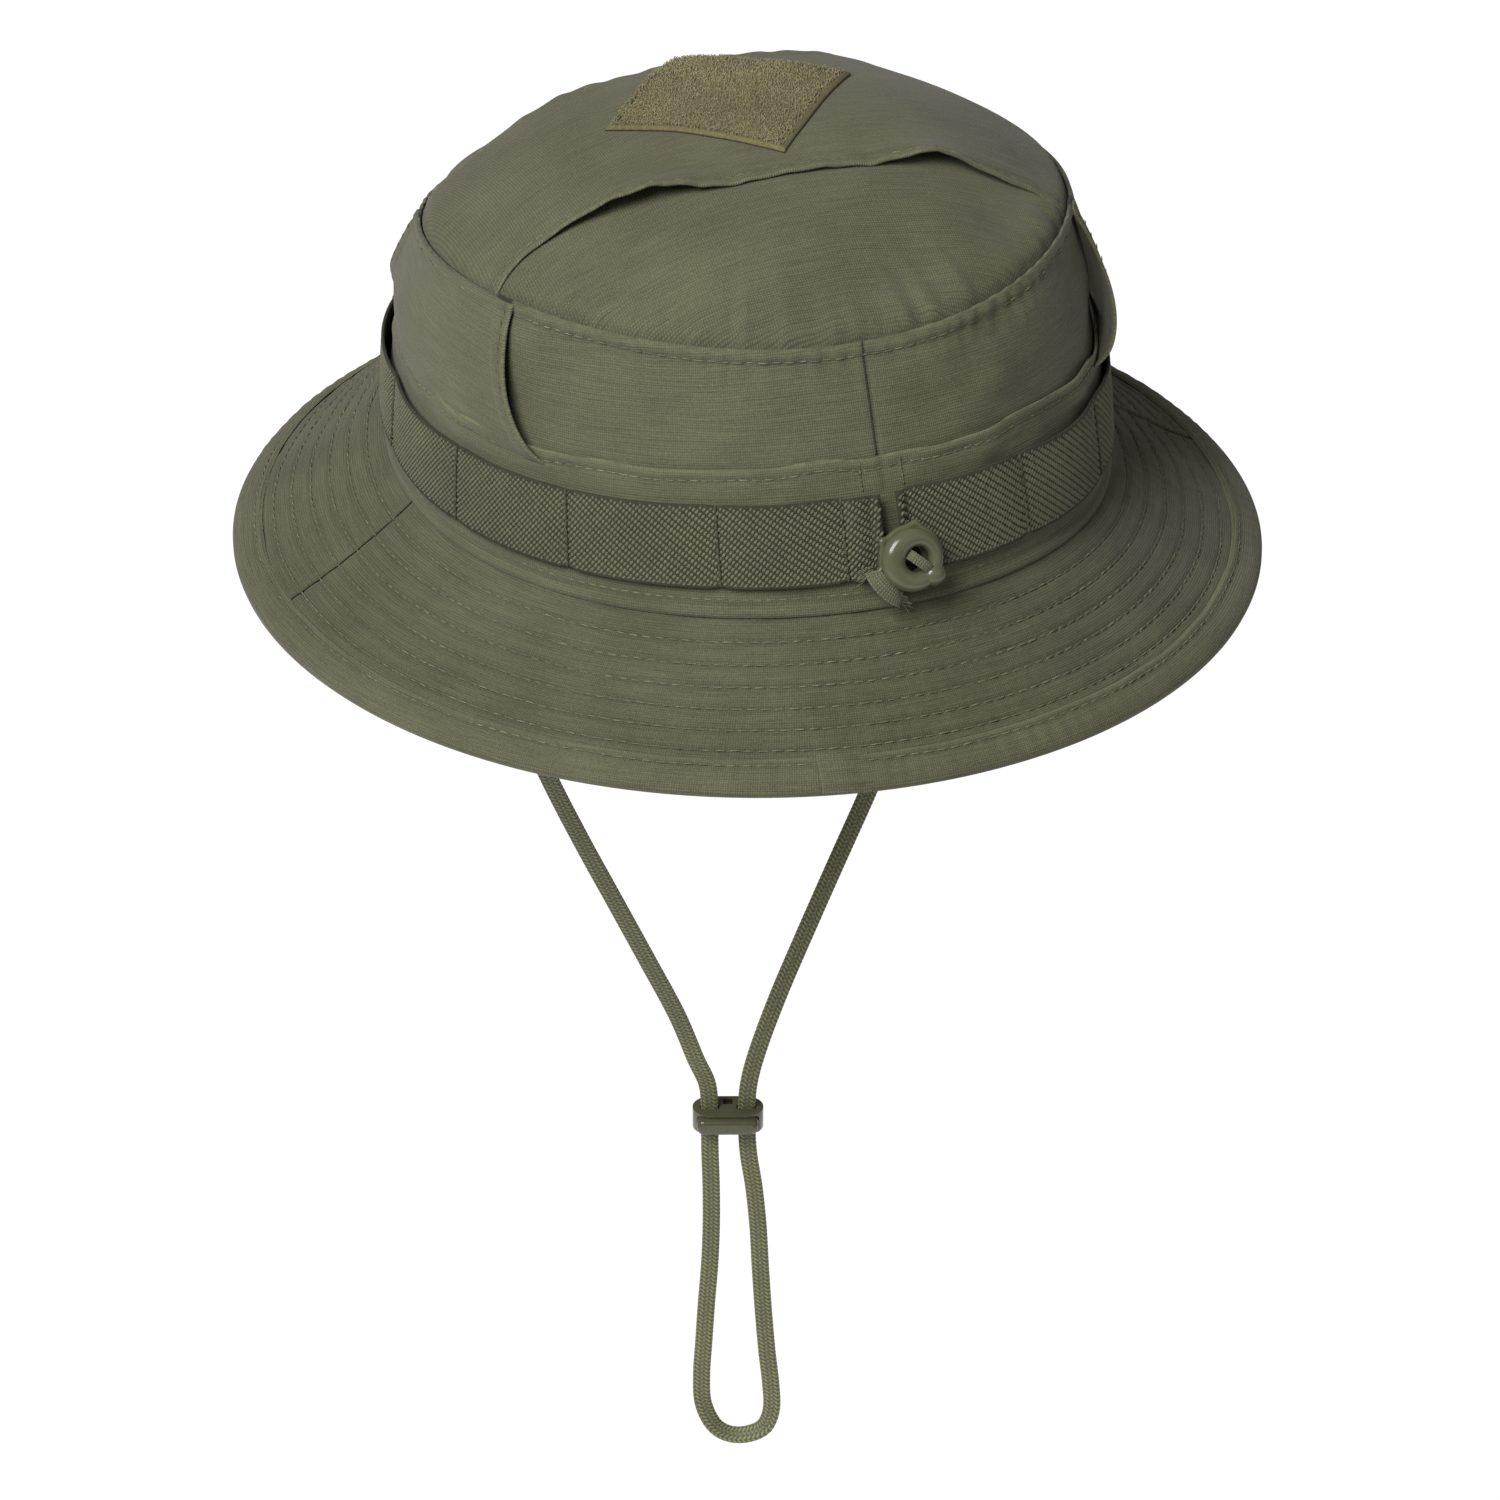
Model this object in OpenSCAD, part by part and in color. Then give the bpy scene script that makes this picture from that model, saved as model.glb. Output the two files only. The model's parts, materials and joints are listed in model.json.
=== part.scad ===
// Boonie hat, held on a head. Millimetres. +Z is up, the hat's front faces -Y and its back faces +Y.
// The origin is the middle of the head opening, at the height of the seam between crown and brim
// at the front and back. Angles round the hat are counted from the back, towards +X.

/* [Head opening] */
// Half the crown's length, front to back, at the brim seam
crown_half_length = 104; // [100:0.5:108]
// Half the crown's width at the brim seam
crown_half_width = 88; // [84:0.5:92]
// How far the brim seam dips at the sides
side_dip = 8; // [0:0.5:10]

/* [Crown] */
// Height of the tip seam over the brim seam at the back
wall_height = 59; // [55:1:66]
// How much lower the tip seam is at the front
front_fall = 19; // [0:1:22]
// How much higher the tip seam is at the sides than at the back
side_rise = 8; // [0:1:9]
// Half the tip's length, front to back
tip_half_length = 82.5; // [80:0.5:88]
// Half the tip's width
tip_half_width = 80.5; // [76:0.5:83]
// How far the tip is set towards the front
tip_forward = 1.5; // [0:0.5:6]
// Height of the tip's middle over its seam
tip_dome = 26.5; // [15:0.5:30]
// How far the wall swells between its two seams
wall_swell = 1.5; // [0:0.5:3]

/* [Brim] */
// Half the brim's length at its edge, front to back
brim_half_length = 137; // [130:1:145]
// Half the brim's width at its edge
brim_half_width = 129; // [122:1:136]
// How far the brim's edge hangs below the brim seam at the back
brim_drop = 32; // [20:1:40]
// Width of the binding round the brim's edge
binding_w = 9; // [6:0.5:12]

/* [Bands] */
// Height of the cloth band round the foot of the crown
band_h = 34; // [30:1:38]
// Width of the elastic webbing
webbing_w = 19.5; // [15:0.5:22]
// Height of the webbing's lower edge over the brim seam
webbing_rise = 7; // [5:0.5:9]
// Width of the sweatband
sweatband_w = 30; // [25:1:34]

/* [Vents] */
// Half the width of the top strip at the middle
strip_half_w = 34; // [30:1:38]
// How far the top strip stands off at an open vent
top_vent_lift = 5; // [0:0.5:6]
// Angle from the back to the rear edge of a side panel
side_panel_from = 65; // [60:1:68]
// How far the left and the right side panel stand off at their open edges
side_vent_lift = [2, 6]; // [0:0.5:6]

/* [Patch] */
// Side of the square loop patch
patch_side = 47; // [40:1:50]
// How far the patch is turned from the hat's width
patch_turn = 49; // [0:1:90]
// Where the patch's middle is, to the left and to the back
patch_at = [3, -5]; // [-8:1:8]

/* [Chin cord] */
// Width of the flat cord
cord_w = 4.6; // [4:0.1:4.7]
// Thickness of the flat cord
cord_t = 1.6; // [1.2:0.1:1.7]

/* [Cord lock] */
// Width of the cord lock's body
lock_w = 18.6; // [18.4:0.1:21]
// Height of the cord lock's body
lock_h = 5.8; // [5.6:0.1:7]
// Travel of the cord lock's button
button_travel = 2; // [1.5:0.1:2.1]
// How far the cord lock hangs turned about the vertical
lock_turn = 20; // [0:1:30]

/* [Hidden] */

olive = "#6b6951";
olive_dark = "#585741";
webbing_green = "#63614c";
mesh_green = "#4b4b3a";
patch_green = "#746f52";
plastic_green = "#5c5a45";
cord_green = "#56593f";
steel = "#b9bbb8";

cloth_t = 0.9;          // thickness of one layer of cloth
layer_gap = 0.2;        // air between two layers
webbing_t = 1.4;
elastic_t = 1.0;        // the flat elastic that draws the crown in
elastic_w = 4.6;
dome_power = 2.6;       // a higher power makes the tip flatter in the middle
ring_step = 5;          // degrees between two columns of points
brim_thick = 3 * cloth_t + 2 * 0.1;
gap_angle = 2.4;        // half the gap between the webbing's two ends

// Places on the hat

// Outward direction of the wall at an angle
function outward(a) =
    let (n = [crown_half_length * sin(a), crown_half_width * cos(a), 0]) n / norm(n);
// The seam between crown and brim
function brim_seam(a) =
    [crown_half_width * sin(a), crown_half_length * cos(a), -side_dip * pow(sin(a), 2)];
// The seam between wall and tip
function seam_rise(a) = side_rise * pow(sin(a), 2) - front_fall * (1 - cos(a)) / 2;
function tip_seam(a) = [
    tip_half_width * sin(a),
    tip_half_length * cos(a) - tip_forward,
    wall_height + seam_rise(a),
];
// A point of the wall, at a share h of its height, standing off the cloth's outer face
function wall(a, h, off = 0) =
    brim_seam(a) * (1 - h) + tip_seam(a) * h
    + outward(a) * (wall_swell * sin(180 * h) + off);
// The share of the wall's height that is rise millimetres up
function share_up(a, rise) = rise / (tip_seam(a).z - brim_seam(a).z);
function wall_at(a, rise, off = 0) = wall(a, share_up(a, rise), off);
// A point of the tip over x and y
function tip(x, y, off = 0) =
    let (
        v = [x / tip_half_width, (y + tip_forward) / tip_half_length],
        u = min(1, norm(v)),
        rim = seam_rise(atan2(v.x, v.y))
    )
    [x, y, wall_height + u * u * rim + tip_dome * (1 - pow(u, dome_power)) + off];
// Half the tip's width where y is
function tip_reach(y) =
    tip_half_width * sqrt(max(0, 1 - pow((y + tip_forward) / tip_half_length, 2)));
// The edge of the brim
function brim_edge(a) =
    [brim_half_width * sin(a), brim_half_length * cos(a), -brim_drop - 3 * (1 - cos(a))];
// A point of the brim, at a share s from seam to edge, standing off its upper face
function brim(a, s, off = 0) =
    let (
        from = brim_seam(a) - [0, 0, 0.3],
        to = brim_edge(a),
        d = to - from,
        out = norm([d.x, d.y]),
        n = (outward(a) * -d.z + [0, 0, out]) / norm([d.z, out])
    )
    from * (1 - s) + to * s + [0, 0, -1.5 * sin(180 * s)] + n * off;

// Builders

function spread(from, to, n) = [for (i = [0:n]) from + (to - from) * i / n];
function grid(rows, cols, at) = [for (r = rows) [for (c = cols) at(r, c)]];
function flat(lists) = [for (l = lists) for (p = l) p];
function quad(a, b, c, d) = [[a, b, c], [a, c, d]];

// A closed solid between two grids of points of one size
module sheet(outer, inner, wrap = false) {
    n = len(outer);
    m = len(outer[0]);
    k = n * m;
    last = wrap ? n - 1 : n - 2;
    function o(i, j) = (i % n) * m + j;
    function q(i, j) = k + (i % n) * m + j;
    faces = flat([
        for (i = [0:last]) for (j = [0:m - 2]) quad(o(i, j), o(i + 1, j), o(i + 1, j + 1), o(i, j + 1)),
        for (i = [0:last]) for (j = [0:m - 2]) quad(q(i, j), q(i, j + 1), q(i + 1, j + 1), q(i + 1, j)),
        for (i = [0:last]) quad(o(i, 0), q(i, 0), q(i + 1, 0), o(i + 1, 0)),
        for (i = [0:last]) quad(o(i, m - 1), o(i + 1, m - 1), q(i + 1, m - 1), q(i, m - 1)),
        if (!wrap) for (j = [0:m - 2]) quad(o(0, j), o(0, j + 1), q(0, j + 1), q(0, j)),
        if (!wrap) for (j = [0:m - 2])
            quad(o(n - 1, j), q(n - 1, j), q(n - 1, j + 1), o(n - 1, j + 1)),
    ]);
    polyhedron(concat(flat(outer), flat(inner)), faces);
}

// A closed solid whose outline, a list of points for each step, goes along a way
module swept(outlines, wrap = false) {
    n = len(outlines);
    m = len(outlines[0]);
    last = wrap ? n - 1 : n - 2;
    function p(i, j) = (i % n) * m + (j % m);
    faces = concat(
        flat([for (i = [0:last]) for (j = [0:m - 1]) quad(p(i, j), p(i + 1, j), p(i + 1, j + 1), p(i, j + 1))]),
        wrap ? [] : [[for (j = [0:m - 1]) j], [for (j = [m - 1:-1:0]) (n - 1) * m + j]]
    );
    polyhedron(flat(outlines), faces);
}

// A sheet that lies on the wall between two angles and two rises
module wall_sheet(from, to, low, high, off, thick, rows = 2) {
    cols = max(2, ceil((to - from) / ring_step));
    rises = spread(low, high, rows);
    angles = spread(from, to, cols);
    sheet(
        grid(angles, rises, function(a, r) wall_at(a, r, off + thick)),
        grid(angles, rises, function(a, r) wall_at(a, r, off))
    );
}

// The same all the way round
module wall_ring(low, high, off, thick, rows = 2) {
    rises = spread(low, high, rows);
    angles = [for (a = [0:ring_step:359]) a];
    sheet(
        grid(angles, rises, function(a, r) wall_at(a, r, off + thick)),
        grid(angles, rises, function(a, r) wall_at(a, r, off)),
        wrap = true
    );
}

// Crown tip

// Where the top strip's edge runs: side is 1 for its rear edge and -1 for its front edge
function strip_edge(side, t) = side * (strip_half_w + 4 * t * t) - tip_forward;
// How far the strip stands off: two open stretches at each edge
function strip_lift(t, v) =
    layer_gap + cloth_t + top_vent_lift * pow(abs(v), 3) * pow(sin(180 * min(1, abs(t) * 1.25)), 2);

module tip_strip() {
    shares = spread(-1, 1, 24);
    function at(t, v, off) =
        let (y = strip_edge(1, t) * (1 + v) / 2 + strip_edge(-1, t) * (1 - v) / 2, x = t * tip_reach(y) * 0.995)
        tip(x, y, off + strip_lift(t, v));
    color(olive) sheet(
        grid(shares, spread(-1, 1, 10), function(t, v) at(t, -v, cloth_t)),
        grid(shares, spread(-1, 1, 10), function(t, v) at(t, -v, 0))
    );
}

// The tip's panel behind or before the strip
module tip_end(side) {
    tuck = 8;
    across = spread(-0.97, 0.97, 18);
    function at(t, v, off) =
        let (
            near = strip_edge(side, t) - side * tuck,
            x = side * t * tip_reach(near),
            far = side * tip_half_length * sqrt(1 - pow(x / tip_half_width, 2)) - tip_forward
        )
        tip(x, near * (1 - v) + far * v * 0.998, off);
    color(olive) sheet(
        grid(across, spread(0, 1, 8), function(t, v) at(t, v, cloth_t)),
        grid(across, spread(0, 1, 8), function(t, v) at(t, v, 0))
    );
}

module tip_rear() tip_end(1);
module tip_front() tip_end(-1);

// The net that closes the two top vents, under the strip and the tip's two panels
module tip_vent_mesh() {
    net_t = 0.6;
    half = strip_half_w - 2;
    function at(x, y, off) = tip(x * tip_reach(y) * 0.93, y, off);
    lines = spread(-half - tip_forward, half - tip_forward, 8);
    color(mesh_green) sheet(
        grid(spread(-1, 1, 14), lines, function(x, y) at(x, -y - 2 * tip_forward, -layer_gap)),
        grid(spread(-1, 1, 14), lines, function(x, y) at(x, -y - 2 * tip_forward, -layer_gap - net_t))
    );
}

// The tape that binds the tip seam inside
module tip_seam_tape() {
    tape_t = 0.6;
    low = 0.83;
    high = 0.965;
    angles = [for (a = [0:ring_step:359]) a];
    color(olive_dark) sheet(
        grid(angles, [low, high], function(a, h) wall(a, h, -cloth_t - layer_gap)),
        grid(angles, [low, high], function(a, h) wall(a, h, -cloth_t - layer_gap - tape_t)),
        wrap = true
    );
}

// Square field of loop pile, sewn on with its corners nearly to the front, back and sides
patch_t = 1.8;
module loop_patch() {
    shares = spread(-0.5, 0.5, 10);
    function at(u, v, off) =
        let (
            x = patch_at.x + patch_side * (u * cos(patch_turn) - v * sin(patch_turn)),
            y = patch_at.y + patch_side * (u * sin(patch_turn) + v * cos(patch_turn)),
            t = x / tip_reach(y),
            v_strip = (y + tip_forward) / (strip_edge(1, t) + tip_forward)
        )
        tip(x, y, off + strip_lift(t, v_strip) + cloth_t + layer_gap);
    color(patch_green) sheet(
        grid(shares, shares, function(u, v) at(v, u, patch_t)),
        grid(shares, shares, function(u, v) at(v, u, 0))
    );
}

// Crown wall

// A wall panel from seam to seam, with the slot through which the drawcord comes out
module wall_panel(from, to) {
    cols = ceil((to - from) / ring_step);
    shares = spread(0.004, 0.985, 6);
    angles = spread(from, to, cols);
    color(olive) sheet(
        grid(angles, shares, function(a, h) wall(a, h)),
        grid(angles, shares, function(a, h) wall(a, h, -cloth_t))
    );
}

// A frame at the slot for the drawcord: +Y points straight out of the leaning wall
draw_rise = 13.5;
wall_lean = atan2(wall_at(0, webbing_rise).y - wall_at(0, webbing_rise + webbing_w).y, webbing_w);
module at_slot() translate(wall_at(0, draw_rise)) rotate([wall_lean, 0, 0]) children();
module drawcord_slot() at_slot() translate([-3.6, -3, -3.5]) cube([7.2, 6, 7]);

panel_tuck = 4;     // degrees that a wall panel runs on under a side panel
module wall_rear_left() color(olive) difference() {
    wall_panel(0.15, side_panel_from + panel_tuck);
    drawcord_slot();
}
module wall_rear_right() color(olive) difference() {
    wall_panel(-side_panel_from - panel_tuck, -0.15);
    drawcord_slot();
}
module wall_front() wall_panel(180 - side_panel_from - panel_tuck, 180 + side_panel_from + panel_tuck);

// A side panel: a flap over the side vent, open along its front and rear edges
module side_panel(middle, lift) {
    half = 90 - side_panel_from;
    low = band_h + 1.2;
    function off(a, h) =
        let (v = abs(a - middle) / half)
        layer_gap + lift * sin(180 * h) * (0.15 + 0.85 * pow(v, 3));
    angles = spread(middle - half, middle + half, 12);
    shares = spread(0, 1, 7);
    function at(a, h, add) =
        let (from = share_up(a, low), s = from + (0.985 - from) * h) wall(a, s, off(a, h) + add);
    color(olive) sheet(
        grid(angles, shares, function(a, h) at(a, h, cloth_t)),
        grid(angles, shares, function(a, h) at(a, h, 0))
    );
}

module side_panel_left() side_panel(90, side_vent_lift[0]);
module side_panel_right() side_panel(-90, side_vent_lift[1]);

// The net behind a side panel, joined to the wall panels inside
module side_vent_mesh(middle) {
    net_t = 0.6;
    half = 90 - side_panel_from - panel_tuck + 2;
    low = share_up(middle, sweatband_w + 4);
    angles = spread(middle - half, middle + half, 10);
    shares = spread(low, 0.81, 4);
    color(mesh_green) sheet(
        grid(angles, shares, function(a, h) wall(a, h, -cloth_t - layer_gap)),
        grid(angles, shares, function(a, h) wall(a, h, -cloth_t - layer_gap - net_t))
    );
}

module side_vent_mesh_left() side_vent_mesh(90);
module side_vent_mesh_right() side_vent_mesh(-90);

// Bands round the foot of the crown

module base_band() color(olive) difference() {
    wall_ring(0.4, band_h, layer_gap, cloth_t, 3);
    drawcord_slot();
}

webbing_off = 2 * layer_gap + cloth_t;
module foliage_webbing() color(webbing_green)
    wall_sheet(gap_angle, 360 - gap_angle, webbing_rise, webbing_rise + webbing_w, webbing_off, webbing_t);

// Angles of the seams that part the webbing into loops
tack_angles = [7.5, 27, 51.5, 74.5, 98, 121.5, 145, 168.5, 192, 215.5, 239, 262.5, 286, 310, 334.5];
tack_half = 0.35;       // half a tack's width, in degrees
tack_t = 0.4;
thread_gap = 0.15;      // air between a row of thread and the cloth under it
module webbing_tacks() color(olive_dark)
    for (a = tack_angles)
        wall_sheet(
            a - tack_half, a + tack_half, webbing_rise + 0.6, webbing_rise + webbing_w - 0.6,
            webbing_off + webbing_t + thread_gap, tack_t
        );

sweatband_off = -cloth_t - 2 * layer_gap - elastic_t;
sweatband_t = 1.1;
module sweatband() color(olive_dark)
    wall_ring(0.4, sweatband_w, sweatband_off - sweatband_t, sweatband_t, 2);

label_t = 0.3;
module size_label() color(mesh_green)
    wall_sheet(-8, 8, 6, 24, sweatband_off - sweatband_t - layer_gap - label_t, label_t);

// Brim

module brim_layer(from, to, top, s0 = 0) {
    cols = ceil((to - from) / ring_step);
    angles = spread(from, to, cols);
    shares = spread(s0, 0.985, 5);
    sheet(
        grid(angles, shares, function(a, s) brim(a, s, top)),
        grid(angles, shares, function(a, s) brim(a, s, top - cloth_t))
    );
}

seam_half_gap = 0.12;   // degrees between the brim's front and rear halves at each side seam
module brim_top_rear() color(olive) brim_layer(-90 + seam_half_gap, 90 - seam_half_gap, 0);
module brim_top_front() color(olive) brim_layer(90 + seam_half_gap, 270 - seam_half_gap, 0);
under_top = -2 * cloth_t - 0.2;
module brim_under_rear() color(olive) brim_layer(-90 + seam_half_gap, 90 - seam_half_gap, under_top);
module brim_under_front() color(olive) brim_layer(90 + seam_half_gap, 270 - seam_half_gap, under_top);

module brim_interlining() {
    angles = [for (a = [0:ring_step:359]) a];
    shares = spread(0.02, 0.975, 4);
    top = -cloth_t - 0.1;
    color("#d8d6cc") sheet(
        grid(angles, shares, function(a, s) brim(a, s, top)),
        grid(angles, shares, function(a, s) brim(a, s, top - cloth_t)),
        wrap = true
    );
}

// The folded tape round the brim's edge, as a U that opens towards the crown
module brim_binding() {
    tape_t = 1.0;
    over = 0.12;
    // one corner of the U: millimetres in from the edge, and off the brim's upper face
    outline = [
        [binding_w, over], [0.2, over], [0.2, -brim_thick - over], [binding_w, -brim_thick - over],
        [binding_w, -brim_thick - over - tape_t], [0, -brim_thick - over - tape_t],
        [-tape_t, -brim_thick / 2], [0, over + tape_t], [binding_w, over + tape_t],
    ];
    function at(a, p) =
        let (long = norm(brim_edge(a) - brim_seam(a))) brim(a, 1 - p.x / long, p.y);
    color(olive) swept(
        [for (a = [0:ring_step:359]) [for (i = [len(outline) - 1:-1:0]) at(a, outline[i])]],
        wrap = true
    );
}

// Where the binding's end laps over its start
module binding_join() {
    span = [10.4, 13.4];
    long = norm(brim_edge(span[0]) - brim_seam(span[0]));
    shares = [1 - binding_w / long, 1];
    color(olive) sheet(
        grid(spread(span[0], span[1], 2), shares, function(a, s) brim(a, s, 1.25 + 0.5)),
        grid(spread(span[0], span[1], 2), shares, function(a, s) brim(a, s, 1.25))
    );
}

// Drawcord and its adjuster

end_x = 2.1;            // half the distance between the elastic's two ends
end_t = 1.2;            // thickness of an end
end_out = 1.6;          // how far the ends stand out of the wall
module drawcord_ring() color(cord_green) {
    wall_sheet(
        1.2, 358.8, draw_rise - elastic_w / 2, draw_rise + elastic_w / 2,
        -cloth_t - layer_gap - elastic_t, elastic_t, 1
    );
    // the two ends, out through the slot
    for (side = [-1, 1])
        at_slot() translate([side * end_x - end_t / 2, -end_out, -elastic_w / 2 + 0.1])
            cube([end_t, 2 * end_out, elastic_w - 0.2]);
}

module drawcord_exit_tacks() color(olive_dark)
    for (a = [-4, 3])
        wall_sheet(a, a + 1, 27.5, 33, webbing_off - layer_gap + thread_gap, tack_t, 1);

ring_r = 8.2;           // outer radius of the adjuster's ring
ring_tube = 2.2;        // radius of its round section
ring_hole_r = ring_r - 2 * ring_tube;
plate_t = 1.5;
plate_out = 3.6;        // how far the plate's back is from the wall
ring_out = plate_out + plate_t + 0.1 + ring_tube;

// The adjuster hangs a little below the slot and to its right
adjuster_at = [-3, -3.7];
module at_adjuster() at_slot() translate([adjuster_at[0], 0, adjuster_at[1]]) children();

// The elastic outside the hat: down to the adjuster, out through it, over and back
module drawcord_tail() color(cord_green) {
    start = end_out + 0.2;
    clear_out = webbing_off + webbing_t + 0.4;
    bend_out = clear_out + 0.4;
    slice = 0.2;
    end_at = ring_out + ring_tube + 0.4;
    for (side = [-1, 1]) {
        at_slot() translate([side * end_x - end_t / 2, start, -elastic_w / 2])
            cube([end_t, clear_out - start, elastic_w]);
        hull() {
            at_slot() translate([side * end_x - end_t / 2, clear_out - slice, -elastic_w / 2])
                cube([end_t, slice, elastic_w]);
            at_adjuster() translate([side * end_x - end_t / 2, bend_out - slice, -elastic_w / 2])
                cube([end_t, slice, elastic_w]);
        }
        at_adjuster() translate([side * end_x - end_t / 2, bend_out - slice, -elastic_w / 2])
            cube([end_t, end_at - bend_out + slice, elastic_w]);
    }
    at_adjuster() translate([-end_x, end_at - end_t, -elastic_w / 2])
        cube([2 * end_x, end_t, elastic_w]);
}

module adjuster_ring() color(plastic_green) at_adjuster() translate([0, ring_out, 0]) rotate([-90, 0, 0])
    rotate_extrude($fn = 64) translate([ring_r - ring_tube, 0]) circle(r = ring_tube, $fn = 32);

// The plate behind the ring, with its two horns
module adjuster_plate() color(plastic_green) at_adjuster() translate([0, plate_out, 0]) rotate([-90, 0, 0])
    difference() {
        union() {
            cylinder(r = ring_r, h = plate_t, $fn = 64);
            for (turn = [-35, -215])
                rotate(turn) translate([ring_r - 0.6, 0, 0]) cylinder(r = 1.6, h = plate_t, $fn = 32);
        }
        translate([0, 0, -1]) cylinder(r = ring_hole_r, h = plate_t + 2, $fn = 48);
    }

// Chin cord

strap_y = -14;          // the cord hangs a little before the middle
strand_x = 4.8;         // half the distance between its two runs in the cord lock
lock_z = -218;          // height of the cord lock's middle

// A tab of folded tape, sewn to the sweatband's inner face, that holds a cord end
module cord_anchor(side) color(olive_dark)
    translate([side * 81.2 - 1.2, strap_y - 4, -16]) cube([2.4, 8, 15]);
module cord_anchor_left() cord_anchor(1);
module cord_anchor_right() cord_anchor(-1);

// The cord's route: down the left side, round the loop and up the right side
left_leg = [
    [81.2, -14, -19], [80.4, -14, -24], [78, -14, -31], [72.5, -14, -45], [65, -14, -64],
    [56.5, -14, -85], [48.5, -14, -106], [40, -14, -126], [31, -14, -146], [22, -14.3, -166],
    [14, -14.7, -184], [8.6, -15.2, -199], [5.2, -15.5, -208], [4.5, -15.6, -217.5],
];
loop_way = [
    [4.5, -15.6, -218], [4.5, -15.6, -228], [4.2, -15.5, -240], [4.2, -15.5, -252],
    [4.6, -15.7, -264], [5.4, -16, -276], [6.1, -16.2, -288], [6.7, -16.4, -299],
    [6.3, -16.3, -308], [3.6, -15.3, -315], [-0.4, -13.9, -318], [-5, -12.2, -318],
    [-9, -10.7, -315.5], [-10.8, -10.1, -310], [-10.6, -10.1, -302], [-9.6, -10.5, -291],
    [-8.7, -10.8, -278], [-8, -11.1, -265], [-7.4, -11.3, -252], [-6.4, -11.7, -240],
    [-5, -12.2, -229], [-4.5, -12.4, -218],
];
right_leg = [
    [-4.5, -12.4, -217.5], [-5.3, -12.5, -208], [-8.2, -13, -198], [-14, -13.4, -183],
    [-21.5, -13.8, -166], [-30, -14, -147], [-38.5, -14, -128], [-46, -14, -110],
    [-54, -14, -89], [-62, -14, -69], [-70.5, -14, -48], [-77.5, -14, -31],
    [-80.4, -14, -24], [-81.2, -14, -19],
];

// A flat cord along points, its face turned as the cord lock is, with rounded edges
module flat_cord(way) {
    face = [sin(lock_turn), cos(lock_turn), 0];
    sides = [for (k = [0:7]) [cos(k * 45 + 22.5), sin(k * 45 + 22.5)] / cos(22.5)];
    last = len(way) - 1;
    function along(i) = way[min(i + 1, last)] - way[max(i - 1, 0)];
    function across(i) = let (w = cross(along(i), face)) w / norm(w);
    color(cord_green) swept([
        for (i = [0:last]) [
            for (c = sides) way[i] + across(i) * c.x * cord_w / 2 + face * c.y * cord_t / 2
        ]
    ]);
}

module cord_leg_left() flat_cord(left_leg);
module cord_leg_right() flat_cord(right_leg);
module cord_loop() flat_cord(loop_way);

// Cord lock

body_back = -5.4;       // the body's back and front faces, from the cord's middle
body_front = 4.6;
lock_wall = 1;
button_w = 16;
button_h = 4.4;
button_back = -2.1;
pocket_play = 0.15;
slot_w = cord_w + 0.5;
slot_d = cord_t + 0.5;
spring_hole_d = 3;

module at_lock() translate([0, strap_y, lock_z]) rotate([0, 0, -lock_turn]) children();

// A bar along Y with rounded long edges and with rounded corners at its back end
module rounded_bar(w, h, r, from, to, back_r) intersection() {
    translate([0, to, 0]) rotate([90, 0, 0]) linear_extrude(to - from) {
        square([w - 2 * r, h], center = true);
        square([w, h - 2 * r], center = true);
        for (x = [-1, 1], z = [-1, 1])
            translate([x * (w / 2 - r), z * (h / 2 - r)]) circle(r = r, $fn = 32);
    }
    translate([0, 0, -h]) linear_extrude(2 * h) {
        translate([-w / 2, from + back_r]) square([w, to - from]);
        translate([-w / 2 + back_r, from]) square([w - 2 * back_r, 2 * back_r]);
        for (x = [-1, 1])
            translate([x * (w / 2 - back_r), from + back_r]) circle(r = back_r, $fn = 48);
    }
}

module cord_lock_body() {
    mid = (body_back + body_front) / 2;
    end_r = (body_front - body_back) / 2;
    color(plastic_green) at_lock() difference() {
        union() {
            translate([-lock_w / 2 + end_r, body_back, -lock_h / 2])
                cube([lock_w - 2 * end_r, body_front - body_back, lock_h]);
            for (side = [-1, 1])
                translate([side * (lock_w / 2 - end_r), mid, -lock_h / 2])
                    cylinder(r = end_r, h = lock_h, $fn = 64);
        }
        rounded_bar(
            button_w + 2 * pocket_play, button_h + 2 * pocket_play, 1.3,
            body_back + lock_wall, body_front + 1, 3.4
        );
        for (side = [-1, 1])
            translate([side * strand_x - slot_w / 2, -slot_d / 2, -lock_h]) cube([slot_w, slot_d, 2 * lock_h]);
        // the window over the spring
        translate([-1.2, -4.1, 0]) cube([2.4, 2.6, lock_h]);
    }
}

module cord_lock_button() {
    slot_back = -cord_t / 2 - 0.2;
    slot_front = cord_t / 2 + button_travel + 0.2;
    color(plastic_green) at_lock() difference() {
        rounded_bar(button_w, button_h, 1.2, button_back, body_front + button_travel, 3);
        for (side = [-1, 1])
            translate([side * strand_x - slot_w / 2, slot_back, -lock_h])
                cube([slot_w, slot_front - slot_back, 2 * lock_h]);
        translate([0, button_back - 1, 0]) rotate([-90, 0, 0]) cylinder(d = spring_hole_d, h = 5, $fn = 48);
    }
}

// Compression spring between the body's back wall and the button
module cord_lock_spring() {
    wire_r = 0.22;
    coil_r = 1.1;
    turns = 6;
    steps = 8 * turns;
    from = body_back + lock_wall + wire_r + 0.05;
    to = button_back + 4 - wire_r - 0.05;
    color(steel) at_lock() swept([
        for (i = [0:steps])
            let (a = 360 * turns * i / steps, y = from + (to - from) * i / steps)
            [for (k = [0:5])
                let (r = coil_r + wire_r * cos(-k * 60))
                [r * cos(a), y + wire_r * sin(-k * 60), r * sin(a)]]
    ]);
}

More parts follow.
